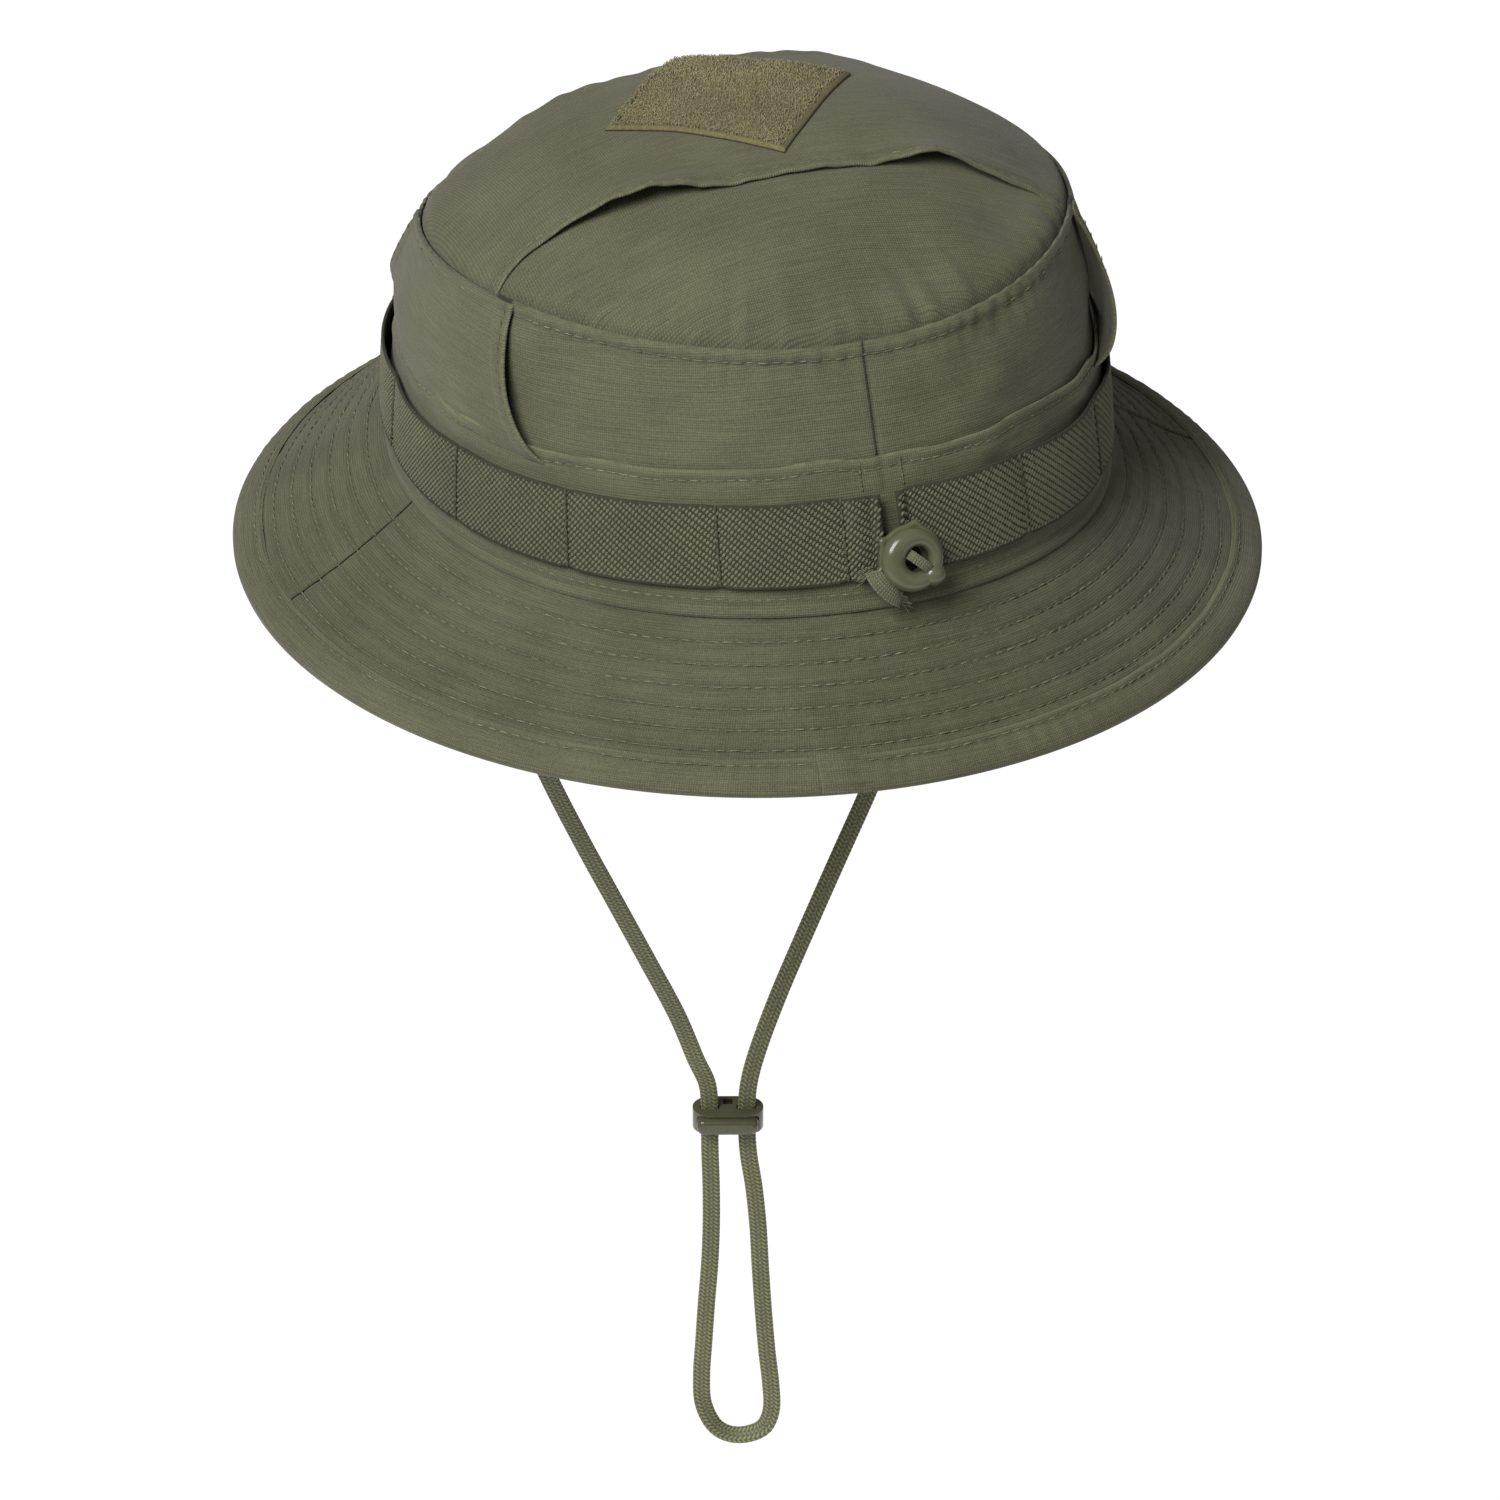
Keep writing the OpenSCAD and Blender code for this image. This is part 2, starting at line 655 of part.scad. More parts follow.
tip_strip();
tip_rear();
tip_front();
tip_vent_mesh();
tip_seam_tape();
loop_patch();
wall_rear_left();
wall_rear_right();
wall_front();
side_panel_left();
side_panel_right();
side_vent_mesh_left();
side_vent_mesh_right();
base_band();
foliage_webbing();
webbing_tacks();
sweatband();
size_label();
brim_top_rear();
brim_top_front();
brim_interlining();
brim_under_rear();
brim_under_front();
brim_binding();
binding_join();
drawcord_ring();
drawcord_exit_tacks();
drawcord_tail();
adjuster_ring();
adjuster_plate();
cord_anchor_left();
cord_anchor_right();
cord_leg_left();
cord_leg_right();
cord_loop();
cord_lock_body();
cord_lock_button();
cord_lock_spring();
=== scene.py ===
"""Looks of a boonie hat with a chin cord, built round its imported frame.

The hat is held as on a head. +Z is up, its front faces -Y and its back, with the adjuster, faces +Y.
Shapes are worked out in millimetres and become metres when their mesh is made. Angles round the hat
are in degrees, counted from the back towards +X.
"""

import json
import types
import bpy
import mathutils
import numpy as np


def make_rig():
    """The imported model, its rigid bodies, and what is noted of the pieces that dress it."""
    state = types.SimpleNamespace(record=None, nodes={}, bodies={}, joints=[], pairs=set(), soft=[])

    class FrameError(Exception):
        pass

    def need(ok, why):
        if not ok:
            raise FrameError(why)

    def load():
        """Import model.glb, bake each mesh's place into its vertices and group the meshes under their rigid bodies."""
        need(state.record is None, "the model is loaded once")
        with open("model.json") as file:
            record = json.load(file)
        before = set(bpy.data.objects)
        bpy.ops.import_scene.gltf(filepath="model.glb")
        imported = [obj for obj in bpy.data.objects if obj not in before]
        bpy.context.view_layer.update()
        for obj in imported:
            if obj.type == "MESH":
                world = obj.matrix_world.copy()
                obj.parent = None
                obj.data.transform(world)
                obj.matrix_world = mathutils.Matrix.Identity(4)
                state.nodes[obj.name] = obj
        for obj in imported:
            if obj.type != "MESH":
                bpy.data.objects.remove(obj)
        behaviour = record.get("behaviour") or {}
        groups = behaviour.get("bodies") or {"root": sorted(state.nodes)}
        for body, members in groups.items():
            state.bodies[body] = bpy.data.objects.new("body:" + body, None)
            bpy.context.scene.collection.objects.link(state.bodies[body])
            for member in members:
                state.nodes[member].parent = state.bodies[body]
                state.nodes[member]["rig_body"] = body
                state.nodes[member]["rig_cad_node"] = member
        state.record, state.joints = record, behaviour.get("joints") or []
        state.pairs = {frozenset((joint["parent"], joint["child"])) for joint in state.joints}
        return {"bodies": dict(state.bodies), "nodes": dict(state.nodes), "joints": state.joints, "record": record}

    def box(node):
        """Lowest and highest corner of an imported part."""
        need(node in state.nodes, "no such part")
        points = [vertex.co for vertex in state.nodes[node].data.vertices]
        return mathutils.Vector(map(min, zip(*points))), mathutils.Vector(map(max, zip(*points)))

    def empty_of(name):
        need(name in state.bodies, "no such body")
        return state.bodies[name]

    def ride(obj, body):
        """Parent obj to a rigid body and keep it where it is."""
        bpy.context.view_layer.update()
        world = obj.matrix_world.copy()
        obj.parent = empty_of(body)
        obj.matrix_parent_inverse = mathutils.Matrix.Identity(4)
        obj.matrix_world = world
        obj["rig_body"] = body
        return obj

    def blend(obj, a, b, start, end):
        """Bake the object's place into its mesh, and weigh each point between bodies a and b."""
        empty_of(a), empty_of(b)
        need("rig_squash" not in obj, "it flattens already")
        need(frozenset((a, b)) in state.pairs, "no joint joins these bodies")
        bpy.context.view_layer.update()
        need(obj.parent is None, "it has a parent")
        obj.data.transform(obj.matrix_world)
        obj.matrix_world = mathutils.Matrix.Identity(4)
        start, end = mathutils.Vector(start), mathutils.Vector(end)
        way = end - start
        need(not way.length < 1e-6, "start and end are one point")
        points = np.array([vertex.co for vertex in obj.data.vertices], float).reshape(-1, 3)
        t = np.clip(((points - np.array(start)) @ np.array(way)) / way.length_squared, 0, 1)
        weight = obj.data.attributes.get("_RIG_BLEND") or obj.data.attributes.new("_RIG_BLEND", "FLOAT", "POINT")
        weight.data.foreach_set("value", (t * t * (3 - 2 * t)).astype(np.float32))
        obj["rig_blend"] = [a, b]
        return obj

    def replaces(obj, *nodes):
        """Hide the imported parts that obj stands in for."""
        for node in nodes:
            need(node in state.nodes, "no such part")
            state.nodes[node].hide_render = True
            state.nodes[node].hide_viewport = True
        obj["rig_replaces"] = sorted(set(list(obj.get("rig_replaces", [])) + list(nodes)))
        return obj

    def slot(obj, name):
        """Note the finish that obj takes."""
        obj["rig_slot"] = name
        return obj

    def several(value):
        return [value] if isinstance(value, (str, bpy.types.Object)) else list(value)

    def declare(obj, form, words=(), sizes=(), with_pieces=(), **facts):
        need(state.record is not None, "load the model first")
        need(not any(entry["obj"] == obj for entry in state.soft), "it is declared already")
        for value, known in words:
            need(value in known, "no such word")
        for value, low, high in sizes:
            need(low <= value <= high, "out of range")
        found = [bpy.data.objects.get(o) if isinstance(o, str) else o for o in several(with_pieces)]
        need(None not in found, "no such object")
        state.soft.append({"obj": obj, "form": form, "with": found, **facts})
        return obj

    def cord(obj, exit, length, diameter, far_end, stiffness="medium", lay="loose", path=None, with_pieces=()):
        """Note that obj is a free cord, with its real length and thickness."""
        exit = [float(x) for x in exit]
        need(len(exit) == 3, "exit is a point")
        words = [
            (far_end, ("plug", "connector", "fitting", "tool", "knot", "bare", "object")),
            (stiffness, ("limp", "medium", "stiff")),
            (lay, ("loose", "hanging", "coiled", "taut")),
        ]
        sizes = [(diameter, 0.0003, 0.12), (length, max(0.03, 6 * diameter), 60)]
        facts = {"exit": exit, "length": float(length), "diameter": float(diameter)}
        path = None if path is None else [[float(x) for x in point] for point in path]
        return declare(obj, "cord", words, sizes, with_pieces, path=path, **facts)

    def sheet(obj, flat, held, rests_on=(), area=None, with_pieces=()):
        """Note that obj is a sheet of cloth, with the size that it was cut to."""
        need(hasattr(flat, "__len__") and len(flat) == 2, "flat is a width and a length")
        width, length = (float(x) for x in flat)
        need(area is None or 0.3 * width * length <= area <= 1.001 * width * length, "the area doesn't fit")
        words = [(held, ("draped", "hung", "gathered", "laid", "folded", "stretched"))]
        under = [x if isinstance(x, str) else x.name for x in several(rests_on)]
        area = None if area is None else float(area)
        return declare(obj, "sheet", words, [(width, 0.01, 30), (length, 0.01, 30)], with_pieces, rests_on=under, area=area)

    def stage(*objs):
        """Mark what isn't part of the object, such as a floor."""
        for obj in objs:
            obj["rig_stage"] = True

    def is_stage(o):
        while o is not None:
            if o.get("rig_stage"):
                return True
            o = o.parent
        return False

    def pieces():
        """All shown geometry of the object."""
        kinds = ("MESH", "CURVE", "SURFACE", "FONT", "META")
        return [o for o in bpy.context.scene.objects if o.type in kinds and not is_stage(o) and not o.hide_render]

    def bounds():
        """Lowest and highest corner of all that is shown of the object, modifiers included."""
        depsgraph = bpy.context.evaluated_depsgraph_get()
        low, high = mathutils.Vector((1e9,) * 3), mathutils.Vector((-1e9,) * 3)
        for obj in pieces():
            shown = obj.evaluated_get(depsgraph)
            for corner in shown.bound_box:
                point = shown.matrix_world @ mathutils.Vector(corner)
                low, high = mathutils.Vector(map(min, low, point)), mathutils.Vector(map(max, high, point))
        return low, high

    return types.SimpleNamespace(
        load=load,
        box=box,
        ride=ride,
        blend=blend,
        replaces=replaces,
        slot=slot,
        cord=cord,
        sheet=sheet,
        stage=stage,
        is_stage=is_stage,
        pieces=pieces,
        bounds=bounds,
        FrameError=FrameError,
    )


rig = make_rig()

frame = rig.load()

import json
import logging
import math
from dataclasses import dataclass, field
from enum import Enum

import bmesh
import bpy
import numpy as np
from mathutils import Vector

CAD_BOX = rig.bounds()
MM = 0.001
LEAST_SHEET = 0.01  # a tape narrower than this, in metres, is trim
LOG = logging.getLogger("boonie_hat")
Grid = np.ndarray


# ---------------------------------------------------------------- small maths


def sin(angle: Grid | float) -> Grid:
    """Sine of an angle in degrees."""
    return np.sin(np.deg2rad(angle))


def cos(angle: Grid | float) -> Grid:
    """Cosine of an angle in degrees."""
    return np.cos(np.deg2rad(angle))


def point(x: Grid | float, y: Grid | float, z: Grid | float) -> Grid:
    """Points from coordinates that may be grids of different shapes."""
    return np.stack(np.broadcast_arrays(x, y, z), axis=-1).astype(float)


def unit(v: Grid) -> Grid:
    """The same vectors, one long."""
    return v / np.maximum(np.linalg.norm(v, axis=-1, keepdims=True), 1e-12)


def ease(x: Grid | float) -> Grid:
    """0 up to x = 0, 1 from x = 1, and a smooth step between them."""
    t = np.clip(x, 0.0, 1.0)
    return t * t * (3 - 2 * t)


def dent(distance: Grid, depth: float = 0.3, width: float = 0.8) -> Grid:
    """The furrow that a row of stitches pulls into cloth, at a distance from the row."""
    return -depth * np.exp(-((distance / width) ** 2))


def columns(start: float, end: float, count: int) -> Grid:
    """A column of values, for the first direction of a grid."""
    return np.linspace(start, end, count)[:, None]


def rows(start: float, end: float, count: int) -> Grid:
    """A row of values, for the second direction of a grid."""
    return np.linspace(start, end, count)[None, :]


@dataclass(frozen=True)
class Crumple:
    """Soft folds of a cloth: a fixed sum of waves in many directions.

    Attributes:
        seed: Picks the waves' directions.
        height: About how high the folds are, in millimetres.
        longest: The longest wave, in millimetres.
        shortest: The shortest one.
        count: How many waves.
    """

    seed: int
    height: float
    longest: float = 70.0
    shortest: float = 13.0
    count: int = 9

    def at(self, u: Grid, v: Grid | float = 0.0) -> Grid:
        """Height of the folds at a place u, v of the flat cloth, in millimetres."""
        draw = np.random.default_rng(self.seed)
        total = 0.0
        for k in range(self.count):
            wave = self.longest * (self.shortest / self.longest) ** (k / max(1, self.count - 1))
            turn, phase = draw.uniform(0, 180), draw.uniform(0, 360)
            size = (wave / self.longest) ** 0.8
            total = total + size * sin(360 * (u * cos(turn) + v * sin(turn)) / wave + phase)
        return self.height * total / math.sqrt(self.count)


def pucker(along: Grid, away: Grid, height: float, pitch: float, reach: float, seed: int) -> Grid:
    """Small waves that a stitched seam leaves in the cloth beside it.

    Args:
        along: Distance along the seam, in millimetres.
        away: Distance from the seam.
        height: Height of the waves at the seam.
        pitch: Length of a wave.
        reach: Distance over which they die away.
        seed: Picks how the waves wander.

    Returns:
        The height to add to the cloth.
    """
    drift = Crumple(seed, 1.0, 55.0, 11.0, 5).at(along)
    size = 0.45 + 0.55 * np.abs(Crumple(seed + 1, 1.2, 90.0, 17.0, 5).at(along))
    return height * size * np.exp(-np.abs(away) / reach) * sin(360 * along / pitch + 150 * drift)


# ---------------------------------------------------------------- meshes


def linear(hex_colour: str) -> tuple[float, float, float, float]:
    """An sRGB hex colour as linear red, green, blue and alpha."""
    parts = [int(hex_colour[i : i + 2], 16) / 255 for i in (1, 3, 5)]
    straight = [c / 12.92 if c <= 0.04045 else ((c + 0.055) / 1.055) ** 2.4 for c in parts]
    return (*straight, 1.0)


def add_object(
    name: str,
    points: Grid,
    faces: Grid | list[list[int]],
    material: bpy.types.Material | None = None,
    loop_uv: Grid | None = None,
    painted_shading_and_fade: Grid | None = None,
    edges: Grid | list[list[int]] = (),
) -> bpy.types.Object:
    """Makes a mesh object at the origin, smooth shaded.

    Args:
        name: The piece's name.
        points: Vertices, in millimetres.
        faces: Vertex numbers of each face.
        material: Its finish.
        loop_uv: A place on the flat cloth, in millimetres, for each corner of each face.
        painted_shading_and_fade: For each vertex, how much lighter (above 0) or darker (below 0) the cloth is, as
            painted shade, painted highlight and fading.
        edges: Loose edges, for a guide that has no faces.

    Returns:
        The new object, linked to the scene.
    """
    mesh = bpy.data.meshes.new(name)
    faces = faces.tolist() if isinstance(faces, np.ndarray) else list(faces)
    edges = edges.tolist() if isinstance(edges, np.ndarray) else list(edges)
    mesh.from_pydata((np.asarray(points) * MM).tolist(), edges, faces)
    if loop_uv is not None:
        layer = mesh.uv_layers.new(name="cloth_mm")
        layer.data.foreach_set("uv", np.asarray(loop_uv, np.float32).ravel())
    # painted shade in furrows and seams, painted highlight and fading on raised folds
    if painted_shading_and_fade is not None:
        attribute = mesh.attributes.new("painted_shading_and_fade", "FLOAT", "POINT")
        attribute.data.foreach_set("value", np.asarray(painted_shading_and_fade, np.float32).ravel())
    if faces:
        mesh.shade_smooth()
    if material is not None:
        mesh.materials.append(material)
    mesh.update()
    made = bpy.data.objects.new(name, mesh)
    bpy.context.scene.collection.objects.link(made)
    return made


def is_inside_out(points: Grid, faces: list[list[int]] | Grid) -> bool:
    """Whether a closed shell of four-cornered faces encloses a negative volume."""
    corners = points[np.asarray(faces)]
    a, b, c, d = (corners[:, k] - points.mean(0) for k in range(4))
    volume = np.einsum("ij,ij->i", a, np.cross(b, c)) + np.einsum("ij,ij->i", a, np.cross(c, d))
    return float(volume.sum()) < 0


class Ends(Enum):
    """How a loft's two ends are."""

    JOINED = "joined"  # the last ring meets the first
    FLAT = "flat"  # one face over each end
    STRIP = "strip"  # faces between the two sides of a flat cloth


@dataclass
class Loft:
    """A closed solid whose outline goes along a way.

    Attributes:
        rings: The outlines, as an array (rings, points, 3), in millimetres.
        uv: A place on the flat cloth for each ring and point, one more of each where they close.
        ends: How the two ends are.
        painted_shading_and_fade: Lighter or darker cloth, for each ring and point: painted shade, painted highlight
            and fading.
    """

    rings: Grid
    uv: Grid
    ends: Ends = Ends.FLAT
    painted_shading_and_fade: Grid | None = None

    def build(self, name: str, material: bpy.types.Material) -> bpy.types.Object:
        """Makes the solid, its faces pointing outwards."""
        n, k = self.rings.shape[:2]
        joined = self.ends is Ends.JOINED
        i, j = np.meshgrid(np.arange(n if joined else n - 1), np.arange(k), indexing="ij")
        corners = [(i, j), (i + 1, j), (i + 1, j + 1), (i, j + 1)]
        quads = np.stack([(a % n) * k + b % k for a, b in corners], axis=-1).reshape(-1, 4)
        quad_uv = np.stack([self.uv[a, b] for a, b in corners], axis=-2).reshape(-1, 4, 2)
        points = self.rings.reshape(-1, 3)
        extra, extra_uv = self.end_faces(n, k)
        if is_inside_out(points, quads):
            quads, quad_uv = quads[:, ::-1], quad_uv[:, ::-1]
            extra, extra_uv = [f[::-1] for f in extra], [f[::-1] for f in extra_uv]
        loop_uv = np.concatenate([quad_uv.reshape(-1, 2), *[np.asarray(f) for f in extra_uv]])
        painted_shading_and_fade = None if self.painted_shading_and_fade is None else self.painted_shading_and_fade.reshape(-1)
        return add_object(name, points, quads.tolist() + extra, material, loop_uv, painted_shading_and_fade)

    def end_faces(self, n: int, k: int) -> tuple[list[list[int]], list[list[Grid]]]:
        """The faces over the two ends, and their places on the flat cloth."""
        if self.ends is Ends.JOINED:
            return [], []
        if self.ends is Ends.FLAT:
            outlines = [list(range(k))]
        else:
            half = k // 2
            arc = EDGE_POINTS
            m = half - arc
            last = 2 * m + arc - 1
            outlines = [[p, p + 1, last - p - 1, last - p] for p in range(m - 1)]
            outlines.append(list(range(m - 1, m + arc + 1)))
            outlines.append([*range(last, k), 0])
        faces, uvs = [], []
        for row, forward in ((0, True), (n - 1, False)):
            for outline in outlines:
                turned = outline if forward else outline[::-1]
                faces.append([row * k + p for p in turned])
                uvs.append([self.uv[row, p] for p in turned])
        return faces, uvs


EDGE_POINTS = 3  # points round each folded or cut edge of a cloth


@dataclass
class Cloth:
    """One cut piece of cloth, as a thin shell with rounded edges.

    Attributes:
        face: Points of its outer side, as an array (columns, rows, 3), in millimetres.
        back: Points of its inner side.
        flat_uv: The place of each point on the flat cloth, in millimetres.
        painted_shading_and_fade: How much lighter or darker it is at each point: painted shade, painted highlight and
            fading.
        joined: Whether the last column is the first one again.
    """

    face: Grid
    back: Grid
    flat_uv: Grid
    painted_shading_and_fade: Grid | None = None
    joined: bool = False

    def build(self, name: str, material: bpy.types.Material) -> bpy.types.Object:
        """Makes the shell."""
        face, back = self.face, self.back
        painted_shading_and_fade = np.zeros(face.shape[:2]) if self.painted_shading_and_fade is None else self.painted_shading_and_fade
        painted_shading_and_fade = np.broadcast_to(painted_shading_and_fade, face.shape[:2])
        far = self.edge(face, back, -1, -2, (45, 0, -45))
        near = self.edge(face, back, 0, 1, (-45, 0, 45))
        rings = np.concatenate([face, far, back[:, ::-1], near], axis=1)
        uv_far = np.repeat(self.flat_uv[:, -1:], EDGE_POINTS, axis=1)
        uv_near = np.repeat(self.flat_uv[:, :1], EDGE_POINTS, axis=1)
        uv = np.concatenate(
            [self.flat_uv, uv_far, self.flat_uv[:, ::-1], uv_near, self.flat_uv[:, :1]], axis=1
        )
        # the edges take the painted shade and highlight of the rows beside them
        edge_far = np.repeat(painted_shading_and_fade[:, -1:], EDGE_POINTS, axis=1)
        edge_near = np.repeat(painted_shading_and_fade[:, :1], EDGE_POINTS, axis=1)
        rings_shading_and_fade = np.concatenate([painted_shading_and_fade, edge_far, painted_shading_and_fade[:, ::-1], edge_near], axis=1)
        if self.joined:
            return Loft(rings[:-1], uv, Ends.JOINED, rings_shading_and_fade[:-1]).build(name, material)
        return Loft(rings, uv, Ends.STRIP, rings_shading_and_fade).build(name, material)

    @staticmethod
    def edge(face: Grid, back: Grid, at: int, beside: int, angles: tuple[int, ...]) -> Grid:
        """Points round an edge, from one side of the cloth to the other."""
        middle = (face[:, at] + back[:, at]) / 2
        half = (face[:, at] - back[:, at]) / 2
        out = unit(face[:, at] - face[:, beside]) * np.linalg.norm(half, axis=-1, keepdims=True)
        return np.stack([middle + half * sin(a) + out * cos(a) for a in angles], axis=1)

    def flat_size(self) -> tuple[float, float, float]:
        """Its greatest width and length along the cloth, and its area, in metres."""
        across = np.linalg.norm(np.diff(self.face, axis=1), axis=-1).sum(1).max() * MM
        along = np.linalg.norm(np.diff(self.face, axis=0), axis=-1).sum(0).max() * MM
        one, two = self.face[1:, 1:] - self.face[:-1, :-1], self.face[1:, :-1] - self.face[:-1, 1:]
        area = np.linalg.norm(np.cross(one, two), axis=-1).sum() / 2 * MM * MM
        return float(across), float(along), min(float(area), float(across * along))


def merged_copy(node: str, name: str) -> bpy.types.Object:
    """A copy of a CAD node as one clean shell, its flat faces whole again."""
    copy = bpy.data.objects.new(name, frame["nodes"][node].data.copy())
    bpy.context.scene.collection.objects.link(copy)
    work = bmesh.new()
    work.from_mesh(copy.data)
    bmesh.ops.remove_doubles(work, verts=work.verts, dist=2e-6)
    bmesh.ops.dissolve_limit(work, angle_limit=math.radians(1.0), verts=work.verts, edges=work.edges)
    work.to_mesh(copy.data)
    work.free()
    copy.data.materials.clear()
    return copy


# ---------------------------------------------------------------- nodes and finishes


def add_node(
    tree: bpy.types.NodeTree,
    kind: str,
    settings: dict[str, object] | None = None,
    inputs: dict[str | int, object] | None = None,
) -> bpy.types.Node:
    """Adds a node to a tree with its settings and links.

    Args:
        tree: The tree that it goes in.
        kind: The node's type.
        settings: Values of its own properties.
        inputs: For each input, by name or number, a value or the output that feeds it.

    Returns:
        The new node.
    """
    node = tree.nodes.new(kind)
    for name, value in (settings or {}).items():
        setattr(node, name, value)
    for key, value in (inputs or {}).items():
        if isinstance(value, bpy.types.NodeSocket):
            tree.links.new(value, node.inputs[key])
        else:
            node.inputs[key].default_value = value
    return node


def new_material(name: str) -> tuple[bpy.types.Material, bpy.types.NodeTree]:
    """A material with an empty tree."""
    material = bpy.data.materials.new(name)
    material.use_nodes = True
    material.node_tree.nodes.clear()
    return material, material.node_tree


def ramp(node: bpy.types.Node, stops: list[tuple[float, str]]) -> bpy.types.NodeSocket:
    """Sets a colour ramp's stops, places with sRGB hex colours, and returns its colour output."""
    elements = node.color_ramp.elements
    while len(elements) > 1:
        elements.remove(elements[-1])
    elements[0].position, elements[0].color = stops[0][0], linear(stops[0][1])
    for place, colour in stops[1:]:
        elements.new(place).color = linear(colour)
    return node.outputs["Color"]


def shaded(hex_colour: str, share: float) -> str:
    """A hex colour made lighter (share above 1) or darker (below 1)."""
    parts = [min(255, round(int(hex_colour[i : i + 2], 16) * share)) for i in (1, 3, 5)]
    return "#" + "".join(f"{p:02x}" for p in parts)


@dataclass(frozen=True)
class WovenFinish:
    """Poplin or ripstop: matt plain-woven cotton, piece-dyed, with slubs and faint fading.

    Attributes:
        name: What the real cloth is.
        colour: Its mean colour, sRGB.
        thread: Distance between two threads, in millimetres.
        relief: How strongly the weave stands out.
        patchy: How far the dye varies, as a share.
        sheen: Strength of the soft glow of its fibres at grazing angles.
        roughness: Roughness of its surface.
    """

    name: str
    colour: str
    thread: float = 0.62  # the real threads are 0.35 mm apart: drawn coarser, or they don't show
    relief: float = 0.55
    patchy: float = 0.11
    sheen: float = 0.12
    roughness: float = 0.88

    def build(self) -> bpy.types.Material:
        """Makes the material, which reads the flat cloth's map and the tone attribute of painted shade, painted
        highlight and fading.
        """
        material, tree = new_material(self.name)
        cloth = add_node(tree, "ShaderNodeUVMap", {"uv_map": "cloth_mm"}).outputs["UV"]
        place = add_node(tree, "ShaderNodeTexCoord").outputs["Object"]
        wave = {"wave_type": "BANDS", "wave_profile": "SIN"}
        scale = 2 * math.pi / 20 / self.thread
        ways = [
            add_node(
                tree,
                "ShaderNodeTexWave",
                {**wave, "bands_direction": way},
                {"Vector": cloth, "Scale": scale, "Distortion": 1.2, "Detail": 2.0, "Detail Scale": 3.0},
            ).outputs["Fac"]
            for way in ("X", "Y")
        ]
        weave = add_node(tree, "ShaderNodeMath", {"operation": "MULTIPLY"}, {0: ways[0], 1: ways[1]})
        # slubs: thick places in the threads that run round the hat, up to 20 mm long
        long_way = add_node(
            tree, "ShaderNodeMapping", inputs={"Vector": cloth, "Scale": (0.06, 1.7, 1.0)}
        )
        slub = add_node(
            tree,
            "ShaderNodeTexNoise",
            inputs={"Vector": long_way.outputs[0], "Scale": 1.0, "Detail": 3.0, "Roughness": 0.6},
        ).outputs["Fac"]
        # the dye's slow patches, about 25 mm across
        patch = add_node(
            tree, "ShaderNodeTexNoise", inputs={"Vector": place, "Scale": 40.0, "Detail": 4.0}
        ).outputs["Fac"]
        speck = add_node(
            tree, "ShaderNodeTexNoise", inputs={"Vector": place, "Scale": 1900.0, "Detail": 1.0}
        ).outputs["Fac"]
        # the mesh's painted shade in furrows and seams, and painted highlight and fading on raised folds
        painted_shading_and_fade = add_node(tree, "ShaderNodeAttribute", {"attribute_name": "painted_shading_and_fade"}).outputs["Fac"]
        shares = [(slub, 0.8), (patch, 0.55), (speck, 0.6), (weave.outputs[0], 0.5)]
        total = painted_shading_and_fade
        for source, weight in shares:
            total = add_node(
                tree, "ShaderNodeMath", {"operation": "MULTIPLY_ADD"}, {0: source, 1: weight, 2: total}
            ).outputs[0]
        middle = 0.5 * sum(w for _, w in shares) - 0.12
        span = add_node(
            tree,
            "ShaderNodeMapRange",
            inputs={"Value": total, "From Min": middle - 0.75, "From Max": middle + 0.75},
        ).outputs[0]
        stops = [
            (0.0, shaded(self.colour, 1 - 4.2 * self.patchy)),
            (0.5, self.colour),
            (1.0, shaded(self.colour, 1 + 3.4 * self.patchy)),
        ]
        colour = ramp(add_node(tree, "ShaderNodeValToRGB", inputs={"Fac": span}), stops)
        height = add_node(
            tree,
            "ShaderNodeMath",
            {"operation": "MULTIPLY_ADD"},
            {0: slub, 1: 0.8, 2: weave.outputs[0]},
        ).outputs[0]
        bump = add_node(
            tree,
            "ShaderNodeBump",
            inputs={"Strength": self.relief, "Distance": 0.00022, "Height": height},
        ).outputs[0]
        shader = add_node(
            tree,
            "ShaderNodeBsdfPrincipled",
            inputs={
                "Base Color": colour,
                "Roughness": self.roughness,
                "Specular IOR Level": 0.25,
                "Sheen Weight": self.sheen,
                "Sheen Roughness": 0.5,
                "Normal": bump,
            },
        )
        add_node(tree, "ShaderNodeOutputMaterial", inputs={"Surface": shader.outputs[0]})
        return material


